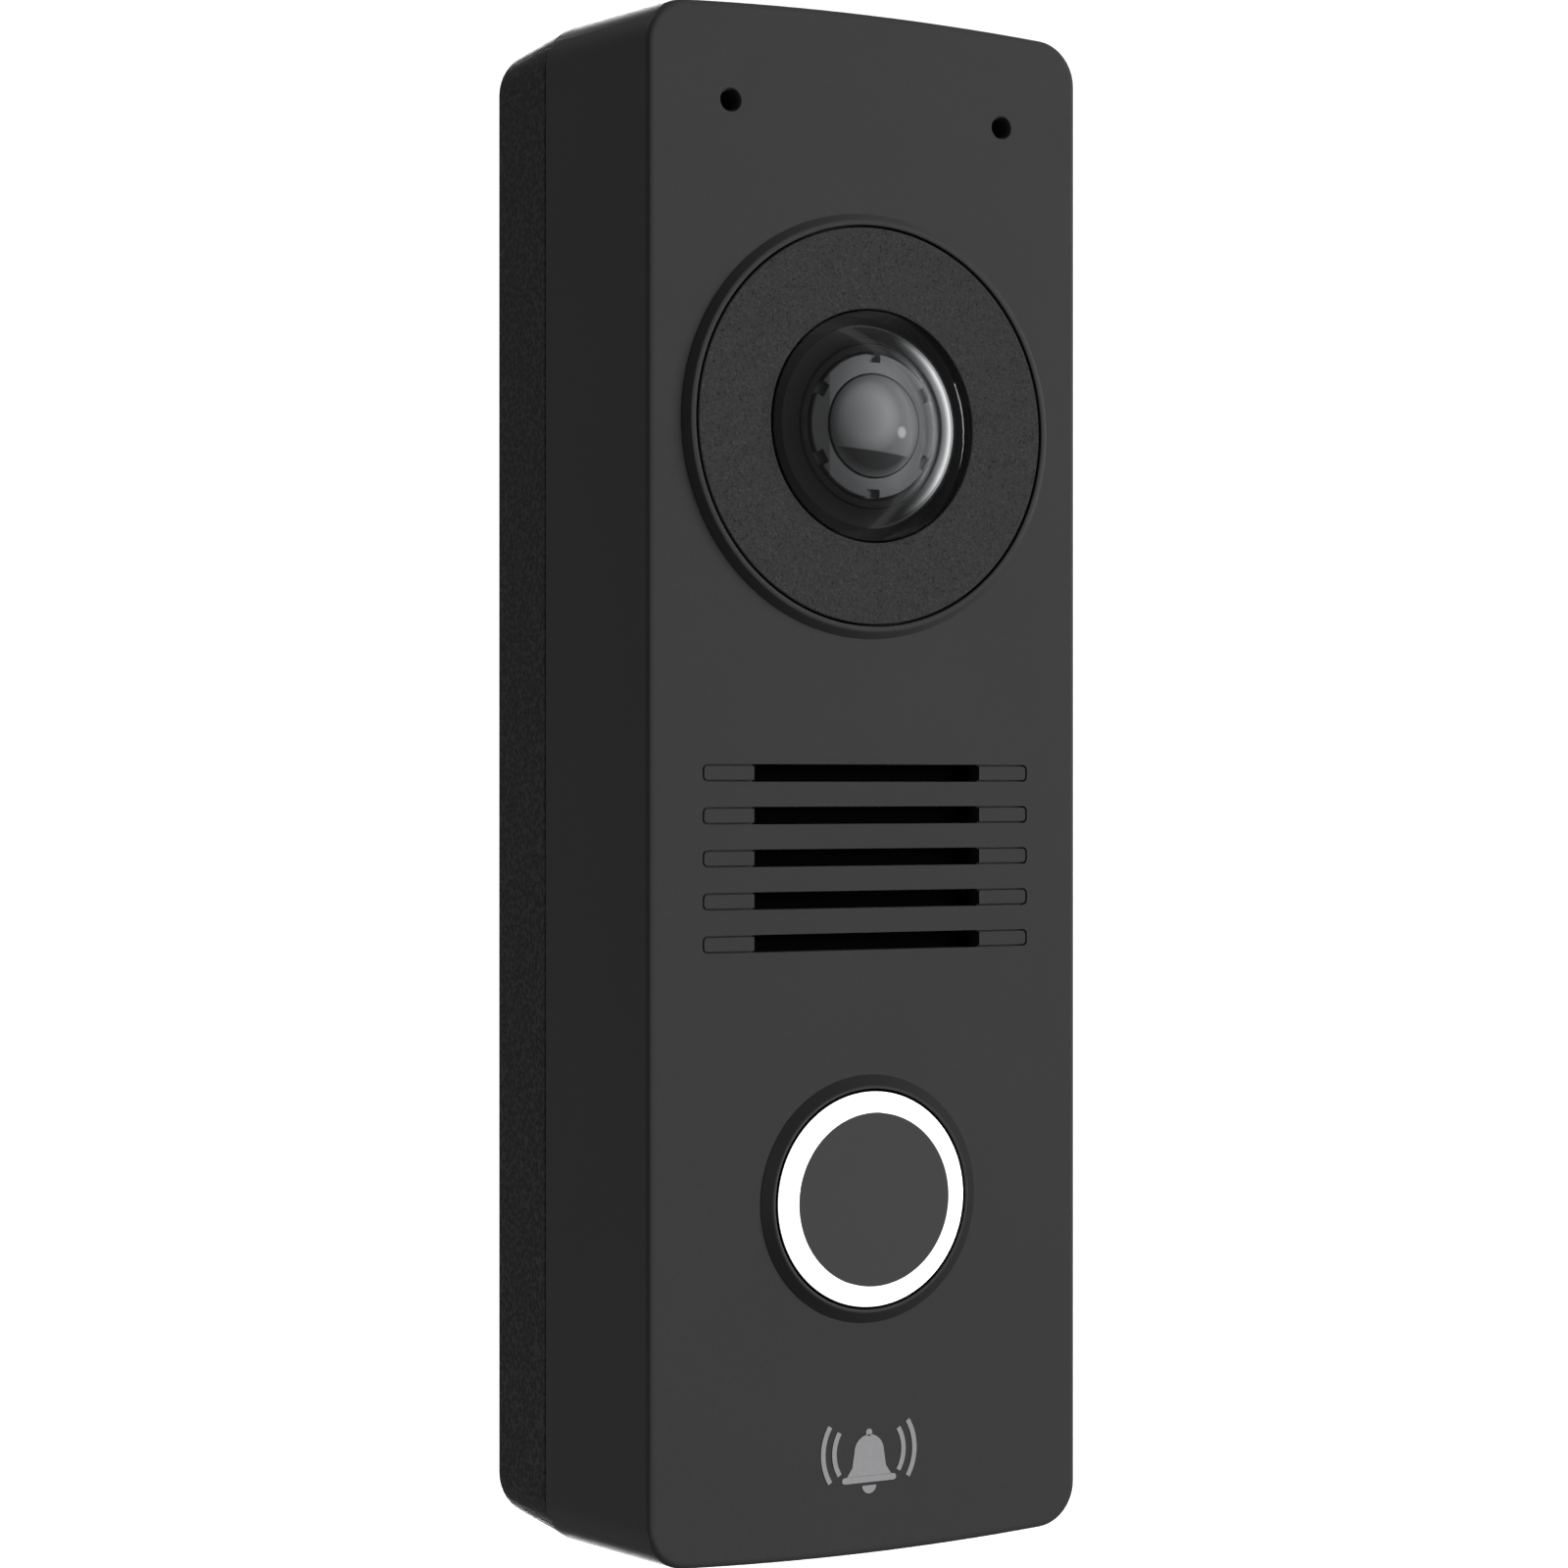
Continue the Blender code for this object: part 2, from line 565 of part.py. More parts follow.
def speaker_pieces(unit, cone_holder):
    center = (0, SPEAKER_Z)
    slab("speaker_cloth", center, 24.0, 13.0, 3.0, (2.7, 3.1), "cloth", unit, 3)
    gasket = slab("speaker_gasket", center, 24.5, 14.0, 5.0, (3.4, 4.6), "rubber", unit, 4)
    cut(gasket, slab("gasket_hole", center, 21.6, 11.6, 4.0, (3.0, 5.0), None, unit, 4))
    frame = slab("speaker_frame", center, 24.5, 14.0, 5.0, (4.9, 8.9), "black_plastic", unit, 4)
    cut(frame, slab("frame_hollow", center, 22.7, 12.2, 4.0, (4.0, 7.9), None, unit, 4))
    sections = [(5.9, 4.0, 2.4), (5.3, 21.8, 4.0), (5.7, 21.8, 4.0), (6.3, 8.0, 4.0)]
    loops = []
    for depth, half, corner in sections:
        high = half * 11.3 / 21.8 if half > 20 else half * 0.62
        loops.append((depth, rounded(center, half, max(high, corner + 0.1), corner, 4)))
    cone = loft("speaker_cone", loops, "cloth", world(0, 5.3, SPEAKER_Z), cone_holder)
    fuse(cone, turned("voice_coil", [(4.6, 6.0), (5.4, 6.0), (5.4, 7.2), (4.6, 7.2)], center, None, unit,
                      SMALL_STEPS, 0.5))
    turned("speaker_magnet", [(0, 9.2), (8.5, 9.2), (8.5, 12.9), (8.2, 13.2), (0, 13.2)], center, "steel", unit)


def microphone_pieces(unit):
    for side, word in ((-1, "left"), (1, "right")):
        center = (side * MIC_X, MIC_Z)
        turned(f"microphone_boot_{word}", [(0.9, 2.7), (2.6, 2.7), (2.6, 6.2), (0.9, 6.2)],
               center, "rubber", unit, POST_STEPS)
        block(f"microphone_{word}", (center[0] - 1.9, center[0] + 1.9), (6.5, 7.6),
              (MIC_Z - 1.5, MIC_Z + 1.5), "steel", unit)
    slab("microphone_board", (0, MIC_Z), 20.2, 2.2, 1.0, (7.9, 8.9), "board_green", unit, 2)


def button_pieces(unit, carriage, stem_holder):
    center = (0, BUTTON_Z)
    turned("call_button_cap", [(0, BUTTON_FACE), (CAP_RADIUS - 0.2, BUTTON_FACE),
                               (CAP_RADIUS, BUTTON_FACE + 0.2), (CAP_RADIUS, 2.4), (0, 2.4)],
           center, "cap_grey", carriage)
    turned("call_button_light_ring", [(LIGHT_INNER, BUTTON_FACE), (LIGHT_INNER + 0.2, BUTTON_FACE),
                                      (LIGHT_OUTER, LIGHT_EDGE), (LIGHT_OUTER, 2.7), (14.6, 2.7),
                                      (14.6, 3.7), (LIGHT_INNER, 3.7)], center, "white_light", carriage, LARGE_STEPS)
    turned("call_button_carrier", [(0, 4.0), (14.2, 4.0), (14.2, 5.2), (2.4, 5.2), (2.2, 6.8), (0, 6.8)],
           center, "black_plastic", carriage)
    turned("call_button_seal", [(15.2, 2.7), (16.6, 2.7), (16.6, 9.2), (15.2, 9.2)], center, "rubber", unit)
    slab("button_board", center, 18.0, 18.0, 2.0, (BUTTON_BOARD_FRONT, BUTTON_BOARD_BACK), "board_green", unit, 3)
    body = block("call_switch_body", (-3.0, 3.0), (7.8, 9.2), (BUTTON_Z - 3.0, BUTTON_Z + 3.0),
                 "black_plastic", unit)
    cut(body, pilot("call_switch_bore", center, 1.9, (7.0, 10.0), unit, POST_STEPS))
    turned("call_switch_stem", [(0, 7.1), (1.5, 7.1), (1.5, 8.3), (0, 8.3)], center, "black_plastic",
           stem_holder, POST_STEPS)
    for index in range(4):
        turn = radians(45 + 90 * index)
        x = 11.3 * cos(turn)
        z = BUTTON_Z + 11.3 * sin(turn)
        block(f"ring_light_source_{index + 1}", (x - 1.4, x + 1.4), (8.0, 9.2), (z - 1.2, z + 1.2),
              "white_light", unit)


def board_pieces(unit, card_holder, control_holder):
    middle = (0, (BOARD_TOP + BOARD_BOTTOM) / 2)
    board = slab("main_board", middle, BOARD_HALF_WIDTH, (BOARD_TOP - BOARD_BOTTOM) / 2, 2.0,
                 (BOARD_FRONT, BOARD_BACK), "board_green", unit, 3)
    for index, place in enumerate(BOARD_POSTS):
        cut(board, pilot(f"board_hole_{index}", place, 1.2, (14.0, 17.0), unit))
        screw(f"main_board_screw_{index + 1}", place, 2.0, 0.85, (9.0, PARTS_DEPTH, 17.6), unit)

    jack = block("network_socket", (JACK_LEFT, JACK_LEFT + JACK_WIDTH), (PARTS_DEPTH, JACK_BACK),
                 (JACK_TOP - JACK_LENGTH, JACK_TOP), "steel", unit)
    mouth = (JACK_LEFT + 2.0, JACK_LEFT + JACK_WIDTH - 2.0)
    cut(jack, block("plug_cavity", mouth, (19.3, 27.6), (JACK_TOP - 30.0, JACK_TOP - 6.0), None, unit))
    key = (JACK_LEFT + 5.0, JACK_LEFT + JACK_WIDTH - 5.0)
    cut(jack, block("latch_cavity", key, (27.0, 28.9), (JACK_TOP - 30.0, JACK_TOP - 10.0), None, unit))

    terminals = block("terminal_block", (0.5, 18.5), (PARTS_DEPTH, 25.0), (1.0, 12.0), "black_plastic", unit)
    for index in range(TERMINAL_COUNT):
        x = 2.7 + TERMINAL_PITCH * index
        cut(terminals, block(f"wire_entry_{index}", (x - 1.1, x + 1.1), (19.0, 21.4), (0.0, 8.0), None, unit))
        cut(terminals, block(f"driver_slot_{index}", (x - 0.9, x + 0.9), (23.6, 26.0), (4.0, 8.0), None, unit))

    socket = block("card_socket", (CARD_X - 7.0, CARD_X + 7.0), (PARTS_DEPTH, 18.6), (CARD_TOP - 13.0, CARD_TOP),
                   "steel", unit)
    cut(socket, block("card_cavity", (CARD_X - 5.9, CARD_X + 5.9), (16.8, 18.1),
                      (CARD_TOP - 20.0, CARD_TOP - 0.8), None, unit))
    block("memory_card", (CARD_X - 5.5, CARD_X + 5.5), (17.1, 17.8), (CARD_TOP - 16.2, CARD_TOP - 1.2),
          "black_plastic", card_holder)

    spot = CONTROL_BUTTON
    body = block("control_switch_body", (spot[0] - 3.0, spot[0] + 3.0), (PARTS_DEPTH, 19.0),
                 (spot[1] - 3.0, spot[1] + 3.0), "black_plastic", unit)
    cut(body, pilot("control_switch_bore", spot, 1.8, (17.2, 20.0), unit, POST_STEPS))
    turned("control_switch_stem", [(0, 18.2), (1.5, 18.2), (1.5, 20.4), (0, 20.4)], spot, "white_light",
           control_holder, POST_STEPS)

    block("processor_shield", (-13.0, 13.0), (PARTS_DEPTH, 18.7), (-70.0, -50.0), "steel", unit)
    block("thermal_pad", (-10.0, 10.0), (19.0, PLATE_FRONT - GAP), (-68.0, -52.0), "rubber", unit)
    bend = [(16.75, 12.6), (16.75, 14.5)]
    for step in range(1, 7):
        share = step / 7
        bend.append((16.75 + 1.5 * (1 - cos(pi * share)) / 2, 14.5 + 8.5 * share))
    bend += [(18.25, 23.0), (18.25, 28.0)]
    ribbon("camera_flex_cable", bend, 2.2, 0.3, "amber_film", unit)


def back_plate(unit):
    outline = [(PLATE_FRONT, cover_outline(PLATE_FRONT, WALL + GAP)),
               (PLATE_BACK, cover_outline(PLATE_FRONT, WALL + GAP))]
    plate = loft("back_plate", outline, "aluminium", world(0, PLATE_FRONT, 0), unit)
    fuse(plate, block("lock_tab", (-LOCK_HALF_WIDTH, LOCK_HALF_WIDTH), (PLATE_BACK - 0.8, LOCK_TAB_BACK), LOCK_TAB,
                      None, unit))
    cut(plate, block("lock_notch", (-1.9, 1.9), (LOCK_DEPTH - 2.2, 36.0), (-86.0, -82.0), None, unit))
    cut(plate, slab("connector_window", (0, -14.0), BOARD_HALF_WIDTH, 27.0, 2.0, (20.0, 26.0), None, unit, 3))
    for side in (-1, 1):
        cut(plate, block(f"hook_slot_{side}", (side * HOOK_X - HOOK_SLOT_HALF_WIDTH, side * HOOK_X + HOOK_SLOT_HALF_WIDTH),
                         (20.0, 26.0), (HOOK_SLOT_BOTTOM, HOOK_SLOT_TOP), None, unit))
    for index, center in enumerate(cover_posts()):
        cut(plate, pilot(f"plate_hole_{index}", center, 1.5, (20.0, 26.0), unit))
        screw(f"back_plate_screw_{index + 1}", center, 2.1, 1.05, (15.0, PLATE_BACK + GAP, 25.8), unit)

    sections = [(LEDGE_DEPTH + GAP, cover_outline(LEDGE_DEPTH, WALL + GAP)),
                (PLATE_FRONT - GAP, cover_outline(LEDGE_DEPTH, WALL + GAP))]
    gasket = loft("cover_gasket", sections, "rubber", world(0, LEDGE_DEPTH + GAP, 0), unit)
    hollow = [(LEDGE_DEPTH - 1.0, cover_outline(LEDGE_DEPTH, LEDGE_WALL - 0.2)),
              (PLATE_FRONT + 1.0, cover_outline(LEDGE_DEPTH, LEDGE_WALL - 0.2))]
    cut(gasket, loft("gasket_hollow", hollow, None, world(0, LEDGE_DEPTH, 0), unit))


def rear_housing():
    start = COVER_DEPTH + SEAM_GAP
    sections = [(REAR_FLOOR, rear_outline(BODY_DEPTH, WALL)),
                (start, rear_outline(start, WALL)),
                (start, rear_outline(start, 0.25)),
                (start + 0.25, rear_outline(start, 0))]
    for step in range(4):
        turn = radians(90 * step / 3)
        sections.append((BODY_DEPTH - EDGE_ROUND * (1 - sin(turn)),
                         rear_outline(BODY_DEPTH, EDGE_ROUND * (1 - cos(turn)))))
    housing = loft("rear_housing", sections, "rear_grey", world(0, BODY_DEPTH, 0))
    for side in (-1, 1):
        fuse(housing, block(f"hook_{side}", (side * HOOK_X - HOOK_HALF_WIDTH, side * HOOK_X + HOOK_HALF_WIDTH),
                            (HOOK_TIP, REAR_FLOOR + 0.6), (HOOK_BOTTOM, HOOK_TOP), None))
    fuse(housing, block("lock_boss", (-LOCK_HALF_WIDTH, LOCK_HALF_WIDTH), (25.6, REAR_FLOOR + 0.6), LOCK_BOSS, None))
    cut(housing, upright("lock_bore", [(0, -93.0), (3.5, -93.0), (3.5, -88.6), (1.8, -88.6), (1.8, -84.0),
                                       (0, -84.0)], 0, LOCK_DEPTH, None, None, POST_STEPS, 0.5))
    cut(housing, pilot("cable_hole", (0, CABLE_Z), CABLE_HOLE, (35.0, 42.0), None, MEDIUM_STEPS))
    for index, z in enumerate((FIXING_Z, -FIXING_Z)):
        cut(housing, slab(f"fixing_hole_{index}", (0, z), FIXING_HOLE + 2.0, FIXING_HOLE, FIXING_HOLE - 0.1,
                          (35.0, 42.0), None, None, 5))
    turned("cable_grommet", [(CABLE_PASSAGE, GROMMET_FRONT), (GROMMET_FLANGE, GROMMET_FRONT),
                             (GROMMET_FLANGE, REAR_FLOOR - GAP),
                             (CABLE_HOLE - GAP, REAR_FLOOR - GAP), (CABLE_HOLE - GAP, BODY_DEPTH - GAP),
                             (CABLE_PASSAGE, BODY_DEPTH - GAP)], (0, CABLE_Z), "rubber")
    upright("security_screw", [(0, -89.4), (1.3, -89.4), (1.3, -90.3), (2.8, -90.3), (3.1, -90.0), (3.1, -88.9),
                               (1.5, -88.9), (1.5, -82.0), (0.9, -81.4), (0, -81.4)],
            0, LOCK_DEPTH, "steel", None, POST_STEPS)


def build():
    clear_scene()
    unit = empty_at("front_unit", world(0, HINGE_DEPTH, HINGE_Z))
    carriage = empty_at("call_button", world(0, BUTTON_FACE, BUTTON_Z), unit)
    stem_holder = empty_at("call_switch", world(0, 7.1, BUTTON_Z), unit)
    cone_holder = empty_at("speaker_diaphragm", world(0, 5.3, SPEAKER_Z), unit)
    card_holder = empty_at("card", world(CARD_X, 17.45, CARD_TOP - 8.7), unit)
    control_holder = empty_at("control_switch", world(CONTROL_BUTTON[0], 20.4, CONTROL_BUTTON[1]), unit)
    front_cover(unit)
    inner_frame(unit)
    camera_pieces(unit)
    speaker_pieces(unit, cone_holder)
    microphone_pieces(unit)
    button_pieces(unit, carriage, stem_holder)
    board_pieces(unit, card_holder, control_holder)
    back_plate(unit)
    rear_housing()


build()
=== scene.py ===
import bpy
import bmesh
import json
from math import cos, hypot, pi, radians, sin, sqrt
from mathutils import Matrix, Vector

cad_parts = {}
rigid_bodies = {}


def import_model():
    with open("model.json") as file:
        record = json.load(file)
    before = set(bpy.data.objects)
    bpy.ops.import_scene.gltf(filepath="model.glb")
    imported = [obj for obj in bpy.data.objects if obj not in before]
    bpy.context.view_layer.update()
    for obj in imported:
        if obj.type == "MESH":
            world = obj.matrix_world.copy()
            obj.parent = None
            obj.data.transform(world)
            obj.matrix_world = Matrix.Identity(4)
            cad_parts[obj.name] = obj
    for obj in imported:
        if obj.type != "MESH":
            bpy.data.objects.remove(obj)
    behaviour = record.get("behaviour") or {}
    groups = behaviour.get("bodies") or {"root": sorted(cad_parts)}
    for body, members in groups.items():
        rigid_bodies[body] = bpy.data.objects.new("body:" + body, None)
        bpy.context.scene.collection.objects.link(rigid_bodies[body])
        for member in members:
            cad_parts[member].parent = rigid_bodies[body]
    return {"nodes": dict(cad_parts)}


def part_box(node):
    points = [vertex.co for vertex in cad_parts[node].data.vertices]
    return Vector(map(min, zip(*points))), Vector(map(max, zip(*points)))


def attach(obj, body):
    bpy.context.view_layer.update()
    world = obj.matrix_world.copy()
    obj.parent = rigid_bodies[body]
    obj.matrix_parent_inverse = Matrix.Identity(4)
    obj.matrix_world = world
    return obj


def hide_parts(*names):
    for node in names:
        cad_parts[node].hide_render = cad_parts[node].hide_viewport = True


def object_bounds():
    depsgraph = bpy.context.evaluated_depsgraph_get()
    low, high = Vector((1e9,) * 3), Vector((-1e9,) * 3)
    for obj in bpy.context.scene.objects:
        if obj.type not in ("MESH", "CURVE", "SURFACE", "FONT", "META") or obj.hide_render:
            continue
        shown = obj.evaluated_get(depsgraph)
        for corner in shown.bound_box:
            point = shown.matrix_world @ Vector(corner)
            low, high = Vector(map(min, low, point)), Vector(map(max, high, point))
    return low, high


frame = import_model()
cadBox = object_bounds()
mm = 0.001
capStandsOut = 1.4  # how far the button's cap stands out from the flat front face, in millimetres


def boxMiddle(node):
    low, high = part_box(node)
    return (Vector(low) + Vector(high)) / 2


# the camera, button and microphone holes are placed from the frame; depths run back from the flat front
# face and heights up from the middle of the wall box, in millimetres
trimMiddle = boxMiddle("camera_trim_disc")
ringMiddle = boxMiddle("lens_retaining_ring")
capMiddle = boxMiddle("call_button_cap")
bootMiddle = boxMiddle("microphone_boot_right")
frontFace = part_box("call_button_cap")[0][1] / mm + capStandsOut
cameraPlace = (0.0, trimMiddle.z / mm)
buttonPlace = (0.0, capMiddle.z / mm)


class Signal:
    # a wrapped socket; + - and * on it make their own Math nodes
    def __init__(self, maker, socket):
        self.maker = maker
        self.socket = socket

    def __add__(self, other):
        return self.maker.maths("ADD", self, other)

    def __radd__(self, other):
        return self.maker.maths("ADD", other, self)

    def __sub__(self, other):
        return self.maker.maths("SUBTRACT", self, other)

    def __rsub__(self, other):
        return self.maker.maths("SUBTRACT", other, self)

    def __mul__(self, other):
        return self.maker.maths("MULTIPLY", self, other)

    def __rmul__(self, other):
        return self.maker.maths("MULTIPLY", other, self)


class Finish:
    # one material being made; add() makes any node and hands back its output
    def __init__(self, name):
        self.material = bpy.data.materials.new(name)
        self.material.use_nodes = True
        self.tree = self.material.node_tree
        self.shader = self.tree.nodes["Principled BSDF"]
        self.place = self.add("ShaderNodeTexCoord", {}, {}, "Object")

    def add(self, kind, settings, inputs, output=0):
        node = self.tree.nodes.new(kind)
        stops = settings.pop("stops", None)
        for key, value in settings.items():
            setattr(node, key, value)
        if stops:
            ramp = node.color_ramp
            while len(ramp.elements) < len(stops):
                ramp.elements.new(0.5)
            for element, (position, color) in zip(ramp.elements, stops):
                element.position = position
                element.color = (*color, 1.0)
        for key, value in inputs.items():
            if isinstance(value, Signal):
                self.tree.links.new(value.socket, node.inputs[key])
            else:
                node.inputs[key].default_value = value
        return Signal(self, node.outputs[output])

    def maths(self, operation, first, second=0.0):
        return self.add("ShaderNodeMath", {"operation": operation}, {0: first, 1: second})

    def fix(self, **values):
        # values that are the same all over; a space in a socket's name is written as _
        for key, value in values.items():
            socket = self.shader.inputs[key.replace("_", " ")]
            socket.default_value = (*value, 1.0) if isinstance(value, tuple) else value

    def drive(self, name, signal):
        self.tree.links.new(signal.socket, self.shader.inputs[name])

    def noise(self, size, detail=2.0, rough=0.5):
        # size is the grain in millimetres
        return self.add("ShaderNodeTexNoise", {"noise_dimensions": "3D"},
                        {"Vector": self.place, "Scale": 1 / (size * mm), "Detail": detail,
                         "Roughness": rough})

    def cells(self, size):
        return self.add("ShaderNodeTexVoronoi", {}, {"Vector": self.place, "Scale": 1 / (size * mm)},
                        "Distance")

    def ramp(self, signal, *stops):
        return self.add("ShaderNodeValToRGB", {"stops": list(stops)}, {0: signal})

    def fromTo(self, signal, low, high, newLow, newHigh):
        return self.add("ShaderNodeMapRange", {}, {0: signal, 1: low, 2: high, 3: newLow, 4: newHigh})

    def swing(self, signal, middle, reach):
        # a noise turned into a value that wanders about a middle
        return self.fromTo(signal, 0.3, 0.7, middle - reach, middle + reach)

    def blend(self, mask, first, second):
        return self.add("ShaderNodeMix", {"data_type": "RGBA"}, {0: mask, 6: first, 7: second}, 2)

    def bump(self, height, depth):
        # depth of the relief in millimetres
        self.drive("Normal", self.add("ShaderNodeBump", {}, {"Height": height, "Distance": depth * mm}))


def shade(color, share):
    return tuple(min(part * share, 1.0) for part in color)


def grey(level):
    return (level, level, level * 1.01, 1.0)


def grainFinish(name, color, roughness, grain, spread, depth, specular=0.5):
    # moulded or sprayed surface: fine grain and a slow drift in tone
    finish = Finish(name)
    fine = finish.noise(grain, 3.0, 0.6)
    slow = finish.noise(14.0)
    tone = finish.fromTo(fine, 0.3, 0.7, 0.0, 0.85) + slow * 0.3
    finish.drive("Base Color", finish.ramp(tone, (0.15, shade(color, 1 - spread)), (0.55, color),
                                           (0.95, shade(color, 1 + spread))))
    finish.drive("Roughness", finish.swing(fine, roughness, 0.05))
    finish.bump(fine, depth)
    finish.fix(Specular_IOR_Level=specular)
    return finish.material


def speckledFinish(name, color, roughness, grain, depth):
    # sprayed texture: mottled light and dark grains that catch the light
    finish = Finish(name)
    lumps = finish.noise(grain, 4.0, 0.75)
    finish.drive("Base Color", finish.ramp(lumps, (0.36, shade(color, 0.25)), (0.42, color),
                                           (0.58, shade(color, 1.12)), (0.68, shade(color, 2.0))))
    finish.drive("Roughness", finish.fromTo(lumps, 0.3, 0.7, roughness + 0.12, roughness - 0.1))
    finish.bump(lumps, depth)
    return finish.material


def leatheredFinish(name, color, roughness, grain, depth):
    # coarse spark-eroded grain of the wall box
    finish = Finish(name)
    lumps = finish.noise(grain, 4.0, 0.65)
    pits = finish.cells(grain * 1.3)
    height = lumps * 0.8 + pits * 0.36
    finish.drive("Base Color", finish.ramp(height, (0.32, shade(color, 0.45)), (0.55, color),
                                           (0.68, shade(color, 2.3))))
    finish.drive("Roughness", finish.fromTo(lumps, 0.3, 0.7, roughness - 0.1, roughness + 0.08))
    finish.bump(height, depth)
    finish.fix(Specular_IOR_Level=0.28)
    return finish.material


def metalFinish(name, color, roughness, grain):
    # bare metal, a little worn in patches
    finish = Finish(name)
    worn = finish.noise(grain, 3.0, 0.6)
    drift = finish.noise(6.0)
    finish.drive("Base Color", finish.ramp(worn * 0.5 + drift * 0.5, (0.3, shade(color, 0.8)),
                                           (0.7, shade(color, 1.1))))
    finish.drive("Roughness", finish.fromTo(drift, 0.3, 0.7, roughness - 0.06, roughness + 0.08))
    finish.bump(worn, 0.006)
    finish.fix(Metallic=1.0)
    return finish.material


board = {"scale": 6.0, "offset": 0.37, "trackWidth": 0.016, "trackLength": 1.9, "trackPitch": 0.15,
         "viaPitch": 2.4, "viaEdge": (0.09, 0.12), "viaColor": (0.3, 0.28, 0.2, 1.0), "relief": 0.02}


def boardFinish(name, color, track):
    # solder mask with copper tracks and round vias showing through, slightly raised
    finish = Finish(name)
    upright = finish.add("ShaderNodeMapping", {}, {0: finish.place, 2: (pi / 2, 0.0, 0.0)})
    rows = finish.add("ShaderNodeTexBrick", {"offset": board["offset"], "squash": 1.0},
                      {"Vector": upright, "Scale": 1 / (board["scale"] * mm),
                       "Mortar Size": board["trackWidth"], "Brick Width": board["trackLength"],
                       "Row Height": board["trackPitch"]}, "Fac")
    vias = finish.fromTo(finish.cells(board["viaPitch"]), *board["viaEdge"], 1.0, 0.0)
    fine = finish.noise(0.3)
    tracks = finish.blend(rows, (*color, 1.0), (*track, 1.0))
    finish.drive("Base Color", finish.blend(vias, tracks, board["viaColor"]))
    finish.drive("Roughness", finish.fromTo(fine, 0.3, 0.7, 0.32, 0.45))
    finish.bump(rows + vias + fine * 0.2, board["relief"])
    return finish.material


def clothFinish(name, color):
    # plain weave laid at 45 degrees
    finish = Finish(name)
    turned = finish.add("ShaderNodeMapping", {}, {0: finish.place, 2: (0.0, pi / 4, 0.0)})
    across, upward = (finish.add("ShaderNodeTexWave", {"bands_direction": axis},
                                 {"Vector": turned, "Scale": 900.0}) for axis in "XZ")
    weave = across * upward
    finish.drive("Base Color", finish.ramp(weave, (0.1, shade(color, 0.3)), (0.8, color)))
    finish.bump(weave, 0.05)
    finish.fix(Roughness=0.95, Specular_IOR_Level=0.05)
    return finish.material


def lightFinish(name):
    # lit translucent ring: even white with a faint cloudiness in the moulding
    finish = Finish(name)
    cloud = finish.noise(3.0)
    finish.drive("Base Color", finish.ramp(cloud, (0.3, (0.9, 0.9, 0.9)), (0.7, (0.97, 0.97, 0.97))))
    finish.drive("Emission Color", finish.ramp(cloud, (0.3, (0.97, 0.98, 1.0)), (0.7, (1.0, 1.0, 1.0))))
    finish.fix(Roughness=0.4, Emission_Strength=1.15)
    return finish.material


def frontPlane(finish, middle):
    # millimetres to the right of and above a point on the front
    across, up = (finish.add("ShaderNodeSeparateXYZ", {}, {0: finish.place}, axis) for axis in "XZ")
    return (across - middle.x) * (1 / mm), (up - middle.z) * (1 / mm)


def reachFrom(finish, middle):
    # millimetres away from a point on the front
    across, up = frontPlane(finish, middle)
    return finish.maths("SQRT", across * across + up * up)


def softSpot(finish, across, up, x, z, inner, outer):
    # 1 inside the inner radius, falling to 0 at the outer one
    right = across - x
    above = up - z
    return finish.fromTo(right * right + above * above, inner ** 2, outer ** 2, 1.0, 0.0)


# painted reflection: a milky sheen on the dome's rim that grows from one radius to the other and fades from
# left to right
windowLook = {"paintedSheenRadius": (10.2, 12.6), "paintedSheenFade": (-7.0, 6.0), "index": 1.5}


def clearFinish(name, middle, share, paintedSheen):
    # thin clear wall: sees through except for a share of its own reflections and a painted reflection, a
    # little milky sheen at its rim that is strongest on the left
    finish = Finish(name)
    finish.drive("Roughness", finish.fromTo(finish.noise(8.0), 0.3, 0.7, 0.03, 0.06))
    finish.fix(Base_Color=(1.0, 1.0, 1.0), Metallic=1.0)
    through = finish.add("ShaderNodeBsdfTransparent", {}, {"Color": (0.96, 0.965, 0.97, 1.0)})
    paintedSheenShader = finish.add("ShaderNodeBsdfPrincipled", {}, {"Base Color": grey(0.85), "Roughness": 1.0})
    across = frontPlane(finish, middle)[0]
    # rim masks the painted reflection near the dome's edge, strongest on the left
    rim = (finish.fromTo(reachFrom(finish, middle), *windowLook["paintedSheenRadius"], 0.0, 1.0)
           * finish.fromTo(across, *windowLook["paintedSheenFade"], paintedSheen, 0.0))
    withPaintedSheen = finish.add("ShaderNodeMixShader", {}, {0: rim, 1: through, 2: paintedSheenShader})
    edge = finish.add("ShaderNodeFresnel", {}, {"IOR": windowLook["index"]}) * share
    mirror = Signal(finish, finish.shader.outputs[0])
    shown = finish.add("ShaderNodeMixShader", {}, {0: edge, 1: withPaintedSheen, 2: mirror})
    finish.tree.links.new(shown.socket, finish.tree.nodes["Material Output"].inputs["Surface"])
    return finish.material


# ridge is the grey of a painted highlight along the ring's ridge
surroundLook = {"body": (0.014, 0.018), "ridge": 0.034, "ridgeHighlightRadius": 13.05, "ridgeHighlightFade": (0.1, 0.2)}


